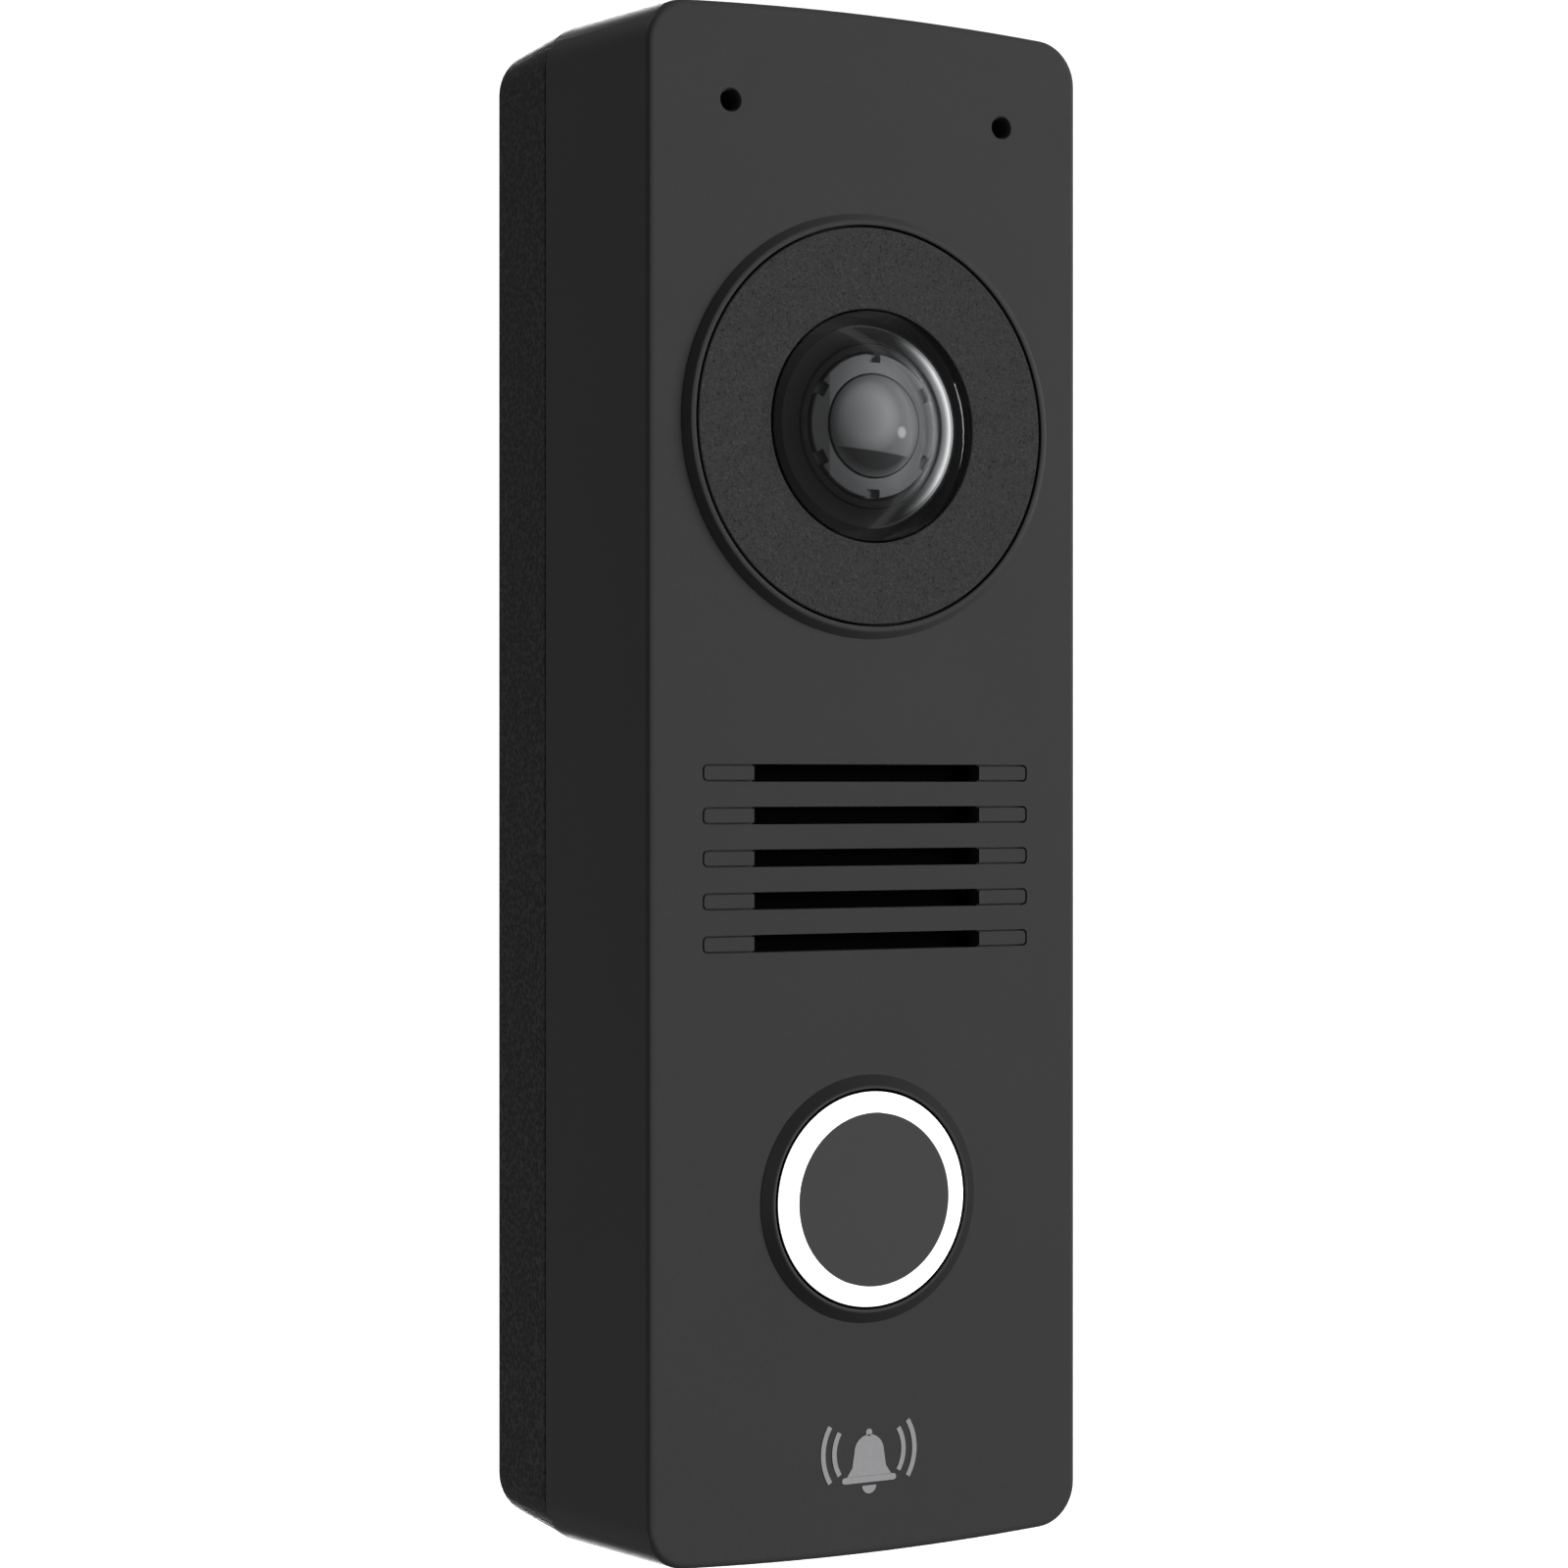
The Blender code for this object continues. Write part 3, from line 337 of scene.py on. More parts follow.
def surroundFinish(name, middle):
    # dark satin ring round the button with a painted highlight, a paler line along its ridge
    finish = Finish(name)
    fine = finish.noise(0.16, 3.0, 0.6)
    body = finish.blend(fine, *(grey(level) for level in surroundLook["body"]))
    offRidge = finish.maths("ABSOLUTE", reachFrom(finish, middle) - surroundLook["ridgeHighlightRadius"])
    # painted highlight: the line along the ridge is made paler
    ridge = finish.fromTo(offRidge, *surroundLook["ridgeHighlightFade"], 1.0, 0.0)
    finish.drive("Base Color", finish.blend(ridge, body, grey(surroundLook["ridge"])))
    finish.drive("Roughness", finish.swing(fine, 0.5, 0.04))
    finish.bump(fine, 0.004)
    finish.fix(Specular_IOR_Level=0.3)
    return finish.material


# spots are x, z, inner radius and outer radius
# the bloom, the foot and the glint are painted reflections of the studio in the lens
lensLook = {"body": 0.16, "paintedBloom": 0.31, "paintedBloomSpot": (-1.6, 1.0, 2.6, 4.6), "foot": 0.04,
            "paintedDarkEdge": (-3.15, -2.95), "paintedDarkTilt": 0.09, "rim": 0.12, "rimSpot": (0.0, 0.0, 5.0, 5.9),
            "paintedGlint": 0.4, "paintedGlintSpot": (3.1, -0.7, 0.4, 0.8)}


def lensFinish(name, middle):
    # coated front element with painted reflections: a pale painted reflection at upper left, a dark painted
    # reflection along its foot, a small painted glint, and a little darker at its edge
    finish = Finish(name)
    look = lensLook
    across, up = frontPlane(finish, middle)
    tone = finish.blend(softSpot(finish, across, up, *look["paintedBloomSpot"]), grey(look["body"]),
                        grey(look["paintedBloom"]))
    # foot masks the painted dark reflection across the lower part of the lens
    foot = finish.fromTo(up + across * look["paintedDarkTilt"], *look["paintedDarkEdge"], 1.0, 0.0)
    tone = finish.blend(foot, tone, grey(look["foot"]))
    tone = finish.blend(softSpot(finish, across, up, *look["rimSpot"]), grey(look["rim"]), tone)
    tone = finish.blend(softSpot(finish, across, up, *look["paintedGlintSpot"]), tone, grey(look["paintedGlint"]))
    finish.drive("Base Color", tone)
    finish.drive("Roughness", finish.swing(finish.noise(2.0), 0.07, 0.02))
    finish.fix(Specular_IOR_Level=0.4)
    return finish.material


# the bands paint a reflection, a pale crescent, and are (share of the way out, grey level)
baffleLook = {"dark": 0.008, "lean": 0.04, "litFade": (3.2, 9.0), "paintedCrescentRadius": (9.7, 11.7),
              "paintedCrescents": ((0.0, 0.1), (0.35, 0.3), (0.6, 0.85), (0.72, 0.9), (0.78, 0.2), (0.86, 0.6),
                        (0.92, 0.02))}


def baffleFinish(name, middle):
    # black cone round the lens whose right half carries a painted reflection of the studio, a pale crescent
    finish = Finish(name)
    across, up = frontPlane(finish, middle)
    lit = finish.fromTo(across + up * baffleLook["lean"], *baffleLook["litFade"], 0.0, 1.0)
    outward = finish.fromTo(reachFrom(finish, middle), *baffleLook["paintedCrescentRadius"], 0.0, 1.0)
    paintedCrescent = finish.ramp(outward, *((position, (level,) * 3) for position, level in baffleLook["paintedCrescents"]))
    # the painted reflection shows only on the right half, where lit rises
    finish.drive("Base Color", finish.blend(lit * lit, grey(baffleLook["dark"]), paintedCrescent))
    finish.drive("Roughness", finish.swing(finish.noise(0.4), 0.45, 0.05))
    return finish.material


# left and right are tones of painted shade that darkens the ring towards its right; leftShade and shaded
# paint a shadow on its left
ringLook = {"left": 0.2, "right": 0.1, "rightShadeFade": (3.0, 7.5), "leftShade": (-6.0, -5.85), "shaded": 0.1,
            "speck": 0.12}


def ringFinish(name, middle):
    # pale satin ring with painted shade: a painted shadow on its left along the dome's own edge, and painted
    # shade darkening its right side
    finish = Finish(name)
    look = ringLook
    across = frontPlane(finish, middle)[0]
    fine = finish.noise(0.25, 3.0, 0.6)
    # painted shade darkening the ring's right side
    tone = finish.blend(finish.fromTo(across, *look["rightShadeFade"], 0.0, 1.0), grey(look["left"]),
                        grey(look["right"]))
    # painted shadow on the ring's left
    tone = finish.blend(finish.fromTo(across, *look["leftShade"], 1.0, 0.0), tone, grey(look["shaded"]))
    tone = finish.blend(finish.fromTo(fine, 0.3, 0.7, 0.0, 0.25), tone, grey(look["speck"]))
    finish.drive("Base Color", tone)
    finish.drive("Roughness", finish.swing(fine, 0.45, 0.05))
    finish.bump(fine, 0.004)
    return finish.material


# name, color, roughness, grain in mm, spread of tone, relief in mm
coverGrey = grainFinish("coverGrey", (0.030, 0.030, 0.031), 0.46, 0.16, 0.12, 0.006)
capGrey = grainFinish("capGrey", (0.043, 0.043, 0.0435), 0.5, 0.14, 0.08, 0.004)
deepBlack = grainFinish("deepBlack", (0.010, 0.010, 0.010), 0.45, 0.3, 0.15, 0.006)
lensBlack = grainFinish("lensBlack", (0.014, 0.014, 0.015), 0.32, 0.2, 0.2, 0.006)
rubberBlack = grainFinish("rubberBlack", (0.016, 0.016, 0.016), 0.85, 0.5, 0.25, 0.02)
coneBlack = grainFinish("coneBlack", (0.008, 0.008, 0.008), 0.9, 0.4, 0.3, 0.03)
sleeveBlack = grainFinish("sleeveBlack", (0.022, 0.022, 0.022), 0.6, 0.2, 0.15, 0.004, specular=0.2)
amberFilm = grainFinish("amberFilm", (0.35, 0.14, 0.02), 0.35, 0.5, 0.2, 0.01)
switchWhite = grainFinish("switchWhite", (0.7, 0.7, 0.68), 0.4, 0.3, 0.05, 0.01)
terminalGreen = grainFinish("terminalGreen", (0.02, 0.16, 0.06), 0.45, 0.4, 0.15, 0.01)
padGrey = grainFinish("padGrey", (0.25, 0.3, 0.36), 0.8, 0.6, 0.15, 0.02)
markGrey = grainFinish("markGrey", (0.225, 0.225, 0.23), 0.5, 0.12, 0.1, 0.004)
# name, color, roughness, grain in mm and, but for the metals, relief in mm
trimGrey = speckledFinish("trimGrey", (0.0275, 0.0275, 0.0281), 0.55, 0.27, 0.09)
boxGrey = leatheredFinish("boxGrey", (0.0155, 0.0155, 0.016), 0.52, 0.48, 0.06)
plainSteel = metalFinish("plainSteel", (0.56, 0.57, 0.58), 0.3, 0.4)
castPlate = metalFinish("castPlate", (0.4, 0.41, 0.42), 0.48, 0.25)
# the rest keep their numbers beside their code
boardGreen = boardFinish("boardGreen", (0.008, 0.052, 0.028), (0.02, 0.1, 0.05))
blackCloth = clothFinish("blackCloth", (0.0025, 0.0025, 0.0025))
litWhite = lightFinish("litWhite")
# the outer wall carries the faint painted reflection at its rim, the inner wall none
clearOutside = clearFinish("clearOutside", trimMiddle, 0.8, 0.018)
clearInside = clearFinish("clearInside", trimMiddle, 0.3, 0.0)
lensGlossPaintedReflections = lensFinish("lensGlossPaintedReflections", boxMiddle("lens_glass"))
bafflePaintedCrescent = baffleFinish("bafflePaintedCrescent", ringMiddle)
ringSatin = ringFinish("ringSatin", ringMiddle)
surroundBlack = surroundFinish("surroundBlack", capMiddle)
print("finishes made")


hair = 0.001  # how near an edge has to be to count as lying at a depth, in millimetres
crownCuts = 15


def outlineFace(width, height, radius, corner, crown):
    # a flat rounded rectangle facing -Y, in millimetres, whose top and bottom may bow outwards
    bm = bmesh.new()
    bmesh.ops.create_grid(bm, x_segments=1, y_segments=1, size=0.5)
    bmesh.ops.rotate(bm, verts=bm.verts, cent=(0, 0, 0), matrix=Matrix.Rotation(pi / 2, 3, "X"))
    bmesh.ops.scale(bm, vec=(width, 1, height - 2 * crown), verts=bm.verts)
    bmesh.ops.bevel(bm, geom=bm.verts[:], offset=radius, segments=corner, profile=0.5, affect="VERTICES",
                    material=-1)
    if crown:
        longEdges = [edge for edge in bm.edges
                     if abs(edge.verts[0].co.x - edge.verts[1].co.x) > width / 2]
        bmesh.ops.bisect_edges(bm, edges=longEdges, cuts=crownCuts)
        for vert in bm.verts:
            rise = crown * (1 - (2 * vert.co.x / width) ** 2)
            vert.co.z += rise if vert.co.z > 0 else -rise
    return bm


def newVerts(made):
    return [item for item in made if isinstance(item, bmesh.types.BMVert)]


def pullRim(bm, edges, depth, scale):
    # carry an open rim to a new depth, growing or shrinking it about the middle
    made = bmesh.ops.extrude_edge_only(bm, edges=edges)["geom"]
    verts = newVerts(made)
    for vert in verts:
        vert.co.y = depth
    bmesh.ops.scale(bm, vec=(scale[0], 1, scale[1]), verts=verts)
    return [item for item in made if isinstance(item, bmesh.types.BMEdge) and len(item.link_faces) == 1]


def extruded(width, height, radius, runs, corner, crown=0.0):
    # solid from a rounded outline through (depth, growth) steps; the first step is the front face
    bm = outlineFace(width, height, radius, corner, crown)
    depth, grown = runs[0]
    for vert in bm.verts:
        vert.co.y = depth
    bmesh.ops.scale(bm, vec=((width + 2 * grown) / width, 1, (height + 2 * grown) / height), verts=bm.verts)
    edges = [edge for edge in bm.edges if edge.is_boundary]
    for depth, growth in runs[1:]:
        scale = [(side + 2 * growth) / (side + 2 * grown) for side in (width, height)]
        edges = pullRim(bm, edges, depth, scale)
        grown = growth
    bmesh.ops.holes_fill(bm, edges=edges, sides=0)
    return bm


def spun(profile, steps, upright=False):
    # turn (radius, depth) points about the depth axis, or (radius, height) about the vertical
    bm = bmesh.new()
    verts = [bm.verts.new((radius, 0, along) if upright else (radius, along, 0)) for radius, along in profile]
    loop = verts + [verts[0]] if profile[0][0] > 0 else verts
    edges = [bm.edges.new(pair) for pair in zip(loop, loop[1:])]
    bmesh.ops.spin(bm, geom=verts + edges, cent=(0, 0, 0), axis=(0, 0, 1) if upright else (0, 1, 0),
                   angle=2 * pi, steps=steps, use_merge=True, use_duplicate=False)
    bmesh.ops.remove_doubles(bm, verts=bm.verts, dist=1e-5)
    return bm


def plug(radius, front, back, steps):
    # plain disc that cuts a round hole
    return spun([(0, front), (radius, front), (radius, back), (0, back)], steps)


def inFront(edge, depth):
    return max(vert.co.y for vert in edge.verts) < depth


def behind(edge, depth):
    return min(vert.co.y for vert in edge.verts) > depth


def nearOutline(edge, spec):
    # both ends lie within the seam band, measured in from the sides and from the top and bottom
    sides = spec["width"] / 2 - spec["seamBand"][0]
    ends = spec["height"] / 2 - spec["seamBand"][1]
    return all(abs(vert.co.x) > sides or abs(vert.co.z) > ends for vert in edge.verts)


def roundEdges(bm, width, segments=3, sharper=35, among=None):
    # soften every crease steeper than an angle
    creases = [edge for edge in bm.edges
               if len(edge.link_faces) == 2 and edge.calc_face_angle(0) > radians(sharper)]
    if among:
        creases = [edge for edge in creases if among(edge)]
    bmesh.ops.bevel(bm, geom=creases, offset=width, segments=segments, profile=0.5, affect="EDGES",
                    material=-1, clamp_overlap=True)


def barBetween(xs, depths, zs, edge=0.25):
    # a softened bar between two corners, in millimetres
    bm = bmesh.new()
    bmesh.ops.create_cube(bm, size=1)
    bmesh.ops.scale(bm, vec=(xs[1] - xs[0], depths[1] - depths[0], zs[1] - zs[0]), verts=bm.verts)
    bmesh.ops.translate(bm, vec=(sum(xs) / 2, sum(depths) / 2, sum(zs) / 2), verts=bm.verts)
    roundEdges(bm, edge, 2)
    return bm


def place(bm, x=0.0, z=0.0, turn=0.0):
    # millimetres to metres, at (x, z) on the front; turn is about the depth axis
    if turn:
        bmesh.ops.rotate(bm, verts=bm.verts, cent=(0, 0, 0), matrix=Matrix.Rotation(turn, 3, "Y"))
    bmesh.ops.translate(bm, vec=(x, frontFace, z), verts=bm.verts)
    bmesh.ops.scale(bm, vec=(mm, mm, mm), verts=bm.verts)
    return bm


def toObject(name, bm, finish=None):
    bmesh.ops.remove_doubles(bm, verts=bm.verts, dist=2e-7)
    bmesh.ops.recalc_face_normals(bm, faces=bm.faces)
    mesh = bpy.data.meshes.new(name)
    bm.to_mesh(mesh)
    bm.free()
    if finish:
        mesh.materials.append(finish)
    made = bpy.data.objects.new(name, mesh)
    bpy.context.scene.collection.objects.link(made)
    return made


def smoothed(made, angle=35, weighted=True):
    made.data.shade_smooth()
    made.data.set_sharp_from_angle(angle=radians(angle))
    if weighted:
        evenOut = made.modifiers.new("evenNormals", "WEIGHTED_NORMAL")
        evenOut.keep_sharp = True
        evenOut.weight = 100
    return made


def worked(made, tools):
    # run (tool, operation) Booleans on a piece, keep the result and drop the tools
    for tool, operation in tools:
        step = made.modifiers.new("tool", "BOOLEAN")
        step.operation = operation
        step.solver = "EXACT"
        step.object = tool
        step.material_mode = "TRANSFER" if tool.data.materials else "INDEX"
    bpy.context.view_layer.update()
    result = bpy.data.meshes.new_from_object(made.evaluated_get(bpy.context.evaluated_depsgraph_get()))
    made.modifiers.clear()
    made.data = result
    for tool, operation in tools:
        bpy.data.objects.remove(tool, do_unlink=True)
    return made


def piece(made, body, slotName, *nodes):
    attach(made, body)
    if nodes:
        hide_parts(*nodes)
    return made


# the front cover with its raised rings; plugRuns are (depth, growth) steps
cover = {
    "width": 58.1, "height": 180.0, "corner": 4.8, "crown": 1.0, "edge": 0.8,
    "seam": 24.6, "seamEdge": 0.22, "seamBand": (0.2, 1.2),
    "draft": 1.0, "wall": 2.2, "ledge": 20.4, "ledgeWall": 3.6, "face": 2.4, "faceDraft": 0.1,
    "slots": 5, "slotTop": 1.27, "slotPitch": 4.91, "slotSize": (44.08, 2.0, 0.6), "slotDepth": 0.6,
    "plugGap": 0.19, "plugRuns": [(0.03, -0.04), (0.07, 0), (1.1, 0)],
    "openingSize": (30.6, 2.04, 0.12), "openingBack": 4.0, "cutFrom": -3, "cutTo": 4, "overlap": 0.7,
}
bezel = {"foot": 24.8, "rim": 24.0, "bore": 23.4, "rise": 1.05, "slopeEnd": 0.08, "floor": 0.9,
         "hole": 14.0, "back": 2.2, "edge": 0.16, "steps": 120, "turn": 0.023}
surround = {"foot": 14.5, "ridge": 13.3, "bore": 12.9, "rise": 0.75, "slopeEnd": 0.06, "back": 2.2,
            "edge": 0.13, "steps": 96, "turn": 0.03}
microphone = {"profile": [(0, -1), (1.5, -1), (1.5, -0.06), (1.36, 0.05), (1.24, 0.3), (1.12, 0.8),
                          (1.1, 4), (0, 4)], "steps": 48, "turn": 0.05}


def makeCover():
    seam, draft, wall = cover["seam"], cover["draft"], cover["wall"]
    runs = [(0, 0), (seam, draft), (seam, draft - wall), (cover["ledge"], draft - wall),
            (cover["ledge"], draft - cover["ledgeWall"]),
            (cover["face"], -cover["ledgeWall"] + cover["faceDraft"])]
    bm = extruded(cover["width"], cover["height"], cover["corner"], runs, 10, cover["crown"])
    roundEdges(bm, cover["edge"], 6, among=lambda edge: inFront(edge, hair))
    roundEdges(bm, cover["seamEdge"],
               among=lambda edge: behind(edge, seam - hair) and nearOutline(edge, cover))
    shell = toObject("frontCover", place(bm), coverGrey)
    tools = []

    # a round tool is turned a little, which keeps its facets off the planes of the others
    def take(name, bm, x, z, operation="DIFFERENCE", turn=0.0, finish=coverGrey):
        tools.append((toObject(name, place(bm, x, z, turn), finish), operation))

    def takeOpening(name, ring, x, z):
        radius = ring["bore"] + cover["overlap"]
        take(name, plug(radius, cover["cutFrom"], cover["cutTo"], ring["steps"]), x, z, turn=ring["turn"])

    takeOpening("opening", bezel, *cameraPlace)
    ring = spun([(bezel["hole"], bezel["floor"]), (bezel["bore"], bezel["floor"]),
                 (bezel["bore"], -bezel["rise"]), (bezel["rim"], -bezel["rise"]),
                 (bezel["foot"], -bezel["slopeEnd"]), (bezel["foot"], bezel["back"]),
                 (bezel["hole"], bezel["back"])], bezel["steps"])
    roundEdges(ring, bezel["edge"], sharper=25, among=lambda edge: inFront(edge, hair - bezel["rise"]))
    take("bezel", ring, *cameraPlace, "UNION")

    takeOpening("buttonOpening", surround, *buttonPlace)
    ring = spun([(surround["bore"], -surround["rise"]), (surround["ridge"], -surround["rise"]),
                 (surround["foot"], -surround["slopeEnd"]), (surround["foot"], surround["back"]),
                 (surround["bore"], surround["back"])], surround["steps"])
    roundEdges(ring, surround["edge"], sharper=25, among=lambda edge: inFront(edge, hair - surround["rise"]))
    take("surround", ring, *buttonPlace, "UNION", finish=surroundBlack)

    # each slot is a shallow recess, filled by a plug with a fine gap round it, then opened in the middle
    for index in range(cover["slots"]):
        z = cover["slotTop"] - index * cover["slotPitch"]
        gap = cover["plugGap"]
        length, height, corner = cover["slotSize"]
        take("slotRecess", extruded(length, height, corner, [(-0.3, 0), (cover["slotDepth"], 0)], 5), 0, z)
        take("slotPlug", extruded(length - 2 * gap, height - 2 * gap, corner - gap, cover["plugRuns"], 5),
             0, z, "UNION")
        take("slotOpening", extruded(*cover["openingSize"], [(-0.2, 0), (cover["openingBack"], 0)], 2), 0, z)
    for side in (-1, 1):
        take("microphoneHole", spun(microphone["profile"], microphone["steps"]), side * bootMiddle.x / mm,
             bootMiddle.z / mm, turn=microphone["turn"])
    worked(shell, tools)
    smoothed(shell, 32)
    return piece(shell, "front_unit", "cover_grey", "front_cover")


makeCover()
print("front cover made")


# the wall box behind the seam, with the tabs that the unit hangs on and the boss for its lock screw
wallBox = {
    "width": 60.1, "height": 182.0, "corner": 5.3, "crown": 1.0, "taper": 0.7, "wall": 2.2,
    "seam": 24.72, "seamEdge": 0.22, "seamBand": (1.1, 2.1), "back": 39.6, "backEdge": 0.9, "rootDepth": 0.6,
    "hookX": 14.0, "hookWidth": 8.0, "hookZ": (80.2, 81.8), "hookTip": 20.0,
    "bossX": (-6, 6), "bossFront": 25.6, "bossZ": (-89.5, -85.4), "lockDepth": 30.5, "lockTurn": 2.1,
    "lockProfile": [(0, -93), (3.5, -93), (3.5, -88.6), (1.8, -88.6), (1.8, -84), (0, -84)],
    "cableZ": -40.0, "cableHole": 10.0, "cableTurn": 0.02, "fixingZ": 62.0, "fixingSize": (8.8, 4.8, 2.3),
    "cutFrom": 35, "cutTo": 42,
}
grommet = {"profile": [(7.3, 36.0), (11.6, 36.0), (11.6, 37.1), (9.7, 37.1), (9.7, 39.3), (7.3, 39.3)],
           "edge": 0.3}


def makeWallBox():
    spec = wallBox
    floor = spec["back"] - spec["wall"]
    root = floor + spec["rootDepth"]
    runs = [(spec["back"], -spec["taper"]), (spec["seam"], 0), (spec["seam"], -spec["wall"]),
            (floor, -spec["taper"] - spec["wall"])]
    bm = extruded(spec["width"], spec["height"], spec["corner"], runs, 10, spec["crown"])
    roundEdges(bm, spec["backEdge"], 5, among=lambda edge: behind(edge, spec["back"] - hair))
    roundEdges(bm, spec["seamEdge"],
               among=lambda edge: inFront(edge, spec["seam"] + hair) and nearOutline(edge, spec))
    shell = toObject("wallBox", place(bm), boxGrey)
    tools = []
    for side in (-1, 1):
        middle = side * spec["hookX"]
        hook = barBetween((middle - spec["hookWidth"] / 2, middle + spec["hookWidth"] / 2),
                          (spec["hookTip"], root), spec["hookZ"])
        tools.append((toObject("hook", place(hook)), "UNION"))
    boss = barBetween(spec["bossX"], (spec["bossFront"], root), spec["bossZ"])
    tools.append((toObject("boss", place(boss)), "UNION"))
    bore = spun(spec["lockProfile"], 48, upright=True)
    bmesh.ops.rotate(bore, verts=bore.verts, cent=(0, 0, 0),
                     matrix=Matrix.Rotation(radians(spec["lockTurn"]), 3, "Z"))
    bmesh.ops.translate(bore, vec=(0, spec["lockDepth"], 0), verts=bore.verts)
    tools.append((toObject("lockBore", place(bore)), "DIFFERENCE"))
    hole = plug(spec["cableHole"], spec["cutFrom"], spec["cutTo"], 64)
    tools.append((toObject("cableHole", place(hole, 0, spec["cableZ"], spec["cableTurn"])), "DIFFERENCE"))
    for side in (-1, 1):
        slotHole = extruded(*spec["fixingSize"], [(spec["cutFrom"], 0), (spec["cutTo"], 0)], 8)
        tools.append((toObject("fixingSlot", place(slotHole, 0, side * spec["fixingZ"])), "DIFFERENCE"))
    worked(shell, tools)
    smoothed(shell, 32)
    return piece(shell, "wall_box", "rear_grey", "rear_housing")


def makeGrommet():
    bm = spun(grommet["profile"], 80)
    roundEdges(bm, grommet["edge"], sharper=40)
    piece(smoothed(toObject("cableGrommet", place(bm, 0, wallBox["cableZ"]), rubberBlack)),
          "wall_box", "rubber", "cable_grommet")


makeWallBox()
makeGrommet()
print("wall box made")


# the camera: speckled trim, clear dome and the lens behind it
trim = {"hole": 13.62, "radius": 23.15, "front": -1.0, "back": 0.6, "edge": 0.22}
dome = {"radius": 13.4, "rim": -1.1, "rise": 4.5, "thick": 1.5, "flange": 16.8, "flangeFront": 4.0,
        "flangeBack": 5.5}
lens = {"ring": 8.4, "ringBore": 6.1, "ringFront": -1.1, "ringEdge": 0.18, "back": 0.5,
        "glass": 5.95, "bulge": 1.4, "standsOut": 2.7, "barrelEdge": 0.2,
        "notches": 6, "notchTurn": 0.4, "notchX": (-0.85, 0.85), "notchDepths": (-2, -0.2),
        "notchIn": 1.0, "notchOut": 1.5, "notchEdge": 0.12,
        "barrel": [(8.7, -0.9), (9.6, -0.9), (9.6, 8.0), (7.5, 8.0), (7.5, 14.5), (5.0, 14.5), (5.0, 0.8),
                   (8.7, 0.8)],
        "baffle": [(9.7, -0.55), (11.3, -0.15), (11.75, -0.1), (11.75, 2.6), (9.7, 2.6)]}


def arcAcross(radius, middle, curve, steps):
    # (radius, depth) points of a shallow dome, from its axis to a radius
    reaches = [radius * sin(pi / 2 * step / steps) for step in range(steps + 1)]
    return [(reach, middle - sqrt(curve ** 2 - reach ** 2)) for reach in reaches]


def makeTrim():
    disc = spun([(trim["hole"], trim["front"]), (trim["radius"], trim["front"]),
                 (trim["radius"], trim["back"]), (trim["hole"], trim["back"])], 120)
    roundEdges(disc, trim["edge"], 4, 40, lambda edge: inFront(edge, trim["front"] + hair))
    piece(smoothed(toObject("cameraTrimDisc", place(disc, *cameraPlace), trimGrey)),
          "front_unit", "trim_grey", "camera_trim_disc")


def makeDome():
    curve = (dome["radius"] ** 2 + dome["rise"] ** 2) / (2 * dome["rise"])
    middle = dome["rim"] - dome["rise"] + curve
    bore = dome["radius"] - dome["thick"]
    profile = arcAcross(dome["radius"], middle, curve, 20)
    profile += [(dome["radius"], dome["flangeFront"]), (dome["flange"], dome["flangeFront"]),
                (dome["flange"], dome["flangeBack"]), (bore, dome["flangeBack"])]
    profile += reversed(arcAcross(bore, middle, curve - dome["thick"], 20))
    shell = spun(profile, 96)

    def onInside(vert):
        # within the bore, and behind the outer skin
        reach = hypot(vert.co.x, vert.co.z)
        return reach < bore + 0.01 and vert.co.y > middle - sqrt((curve - 0.2) ** 2 - reach ** 2)

    for face in shell.faces:
        face.material_index = int(all(onInside(vert) for vert in face.verts))
    shell = toObject("cameraWindow", place(shell, *cameraPlace), clearOutside)
    shell.data.materials.append(clearInside)
    piece(smoothed(shell, 50, False), "front_unit", "clear_dome", "camera_window")


def makeLens():
    ring = spun([(lens["ringBore"], lens["ringFront"]), (lens["ring"], lens["ringFront"]),
                 (lens["ring"], lens["back"]), (lens["ringBore"], lens["back"])], 96)
    roundEdges(ring, lens["ringEdge"], sharper=40)
    ring = toObject("lensRetainingRing", place(ring, *cameraPlace), ringSatin)
    tools = []
    for index in range(lens["notches"]):
        turn = 2 * pi * index / lens["notches"] + radians(lens["notchTurn"])
        notch = barBetween(lens["notchX"], lens["notchDepths"],
                           (lens["ring"] - lens["notchIn"], lens["ring"] + lens["notchOut"]),
                           lens["notchEdge"])
        tools.append((toObject("notch", place(notch, *cameraPlace, turn)), "DIFFERENCE"))
    worked(ring, tools)
    piece(smoothed(ring), "front_unit", "black_plastic", "lens_retaining_ring")

    curve = (lens["glass"] ** 2 + lens["bulge"] ** 2) / (2 * lens["bulge"])
    glass = spun(arcAcross(lens["glass"], curve - lens["standsOut"], curve, 24)
                 + [(lens["glass"], lens["back"]), (0, lens["back"])], 96)
    piece(smoothed(toObject("lensGlass", place(glass, *cameraPlace), lensGlossPaintedReflections), 40, False),
          "front_unit", "lens_glass", "lens_glass")

    barrel = spun(lens["barrel"], 72)
    roundEdges(barrel, lens["barrelEdge"], sharper=40)
    piece(smoothed(toObject("lensBarrel", place(barrel, *cameraPlace), lensBlack)),
          "front_unit", "black_plastic", "lens_barrel")
    baffle = spun(lens["baffle"], 96)
    piece(smoothed(toObject("lensBaffle", place(baffle, *cameraPlace), bafflePaintedCrescent), 30),
          "front_unit", "black_plastic")


makeTrim()
makeDome()
makeLens()
print("camera made")


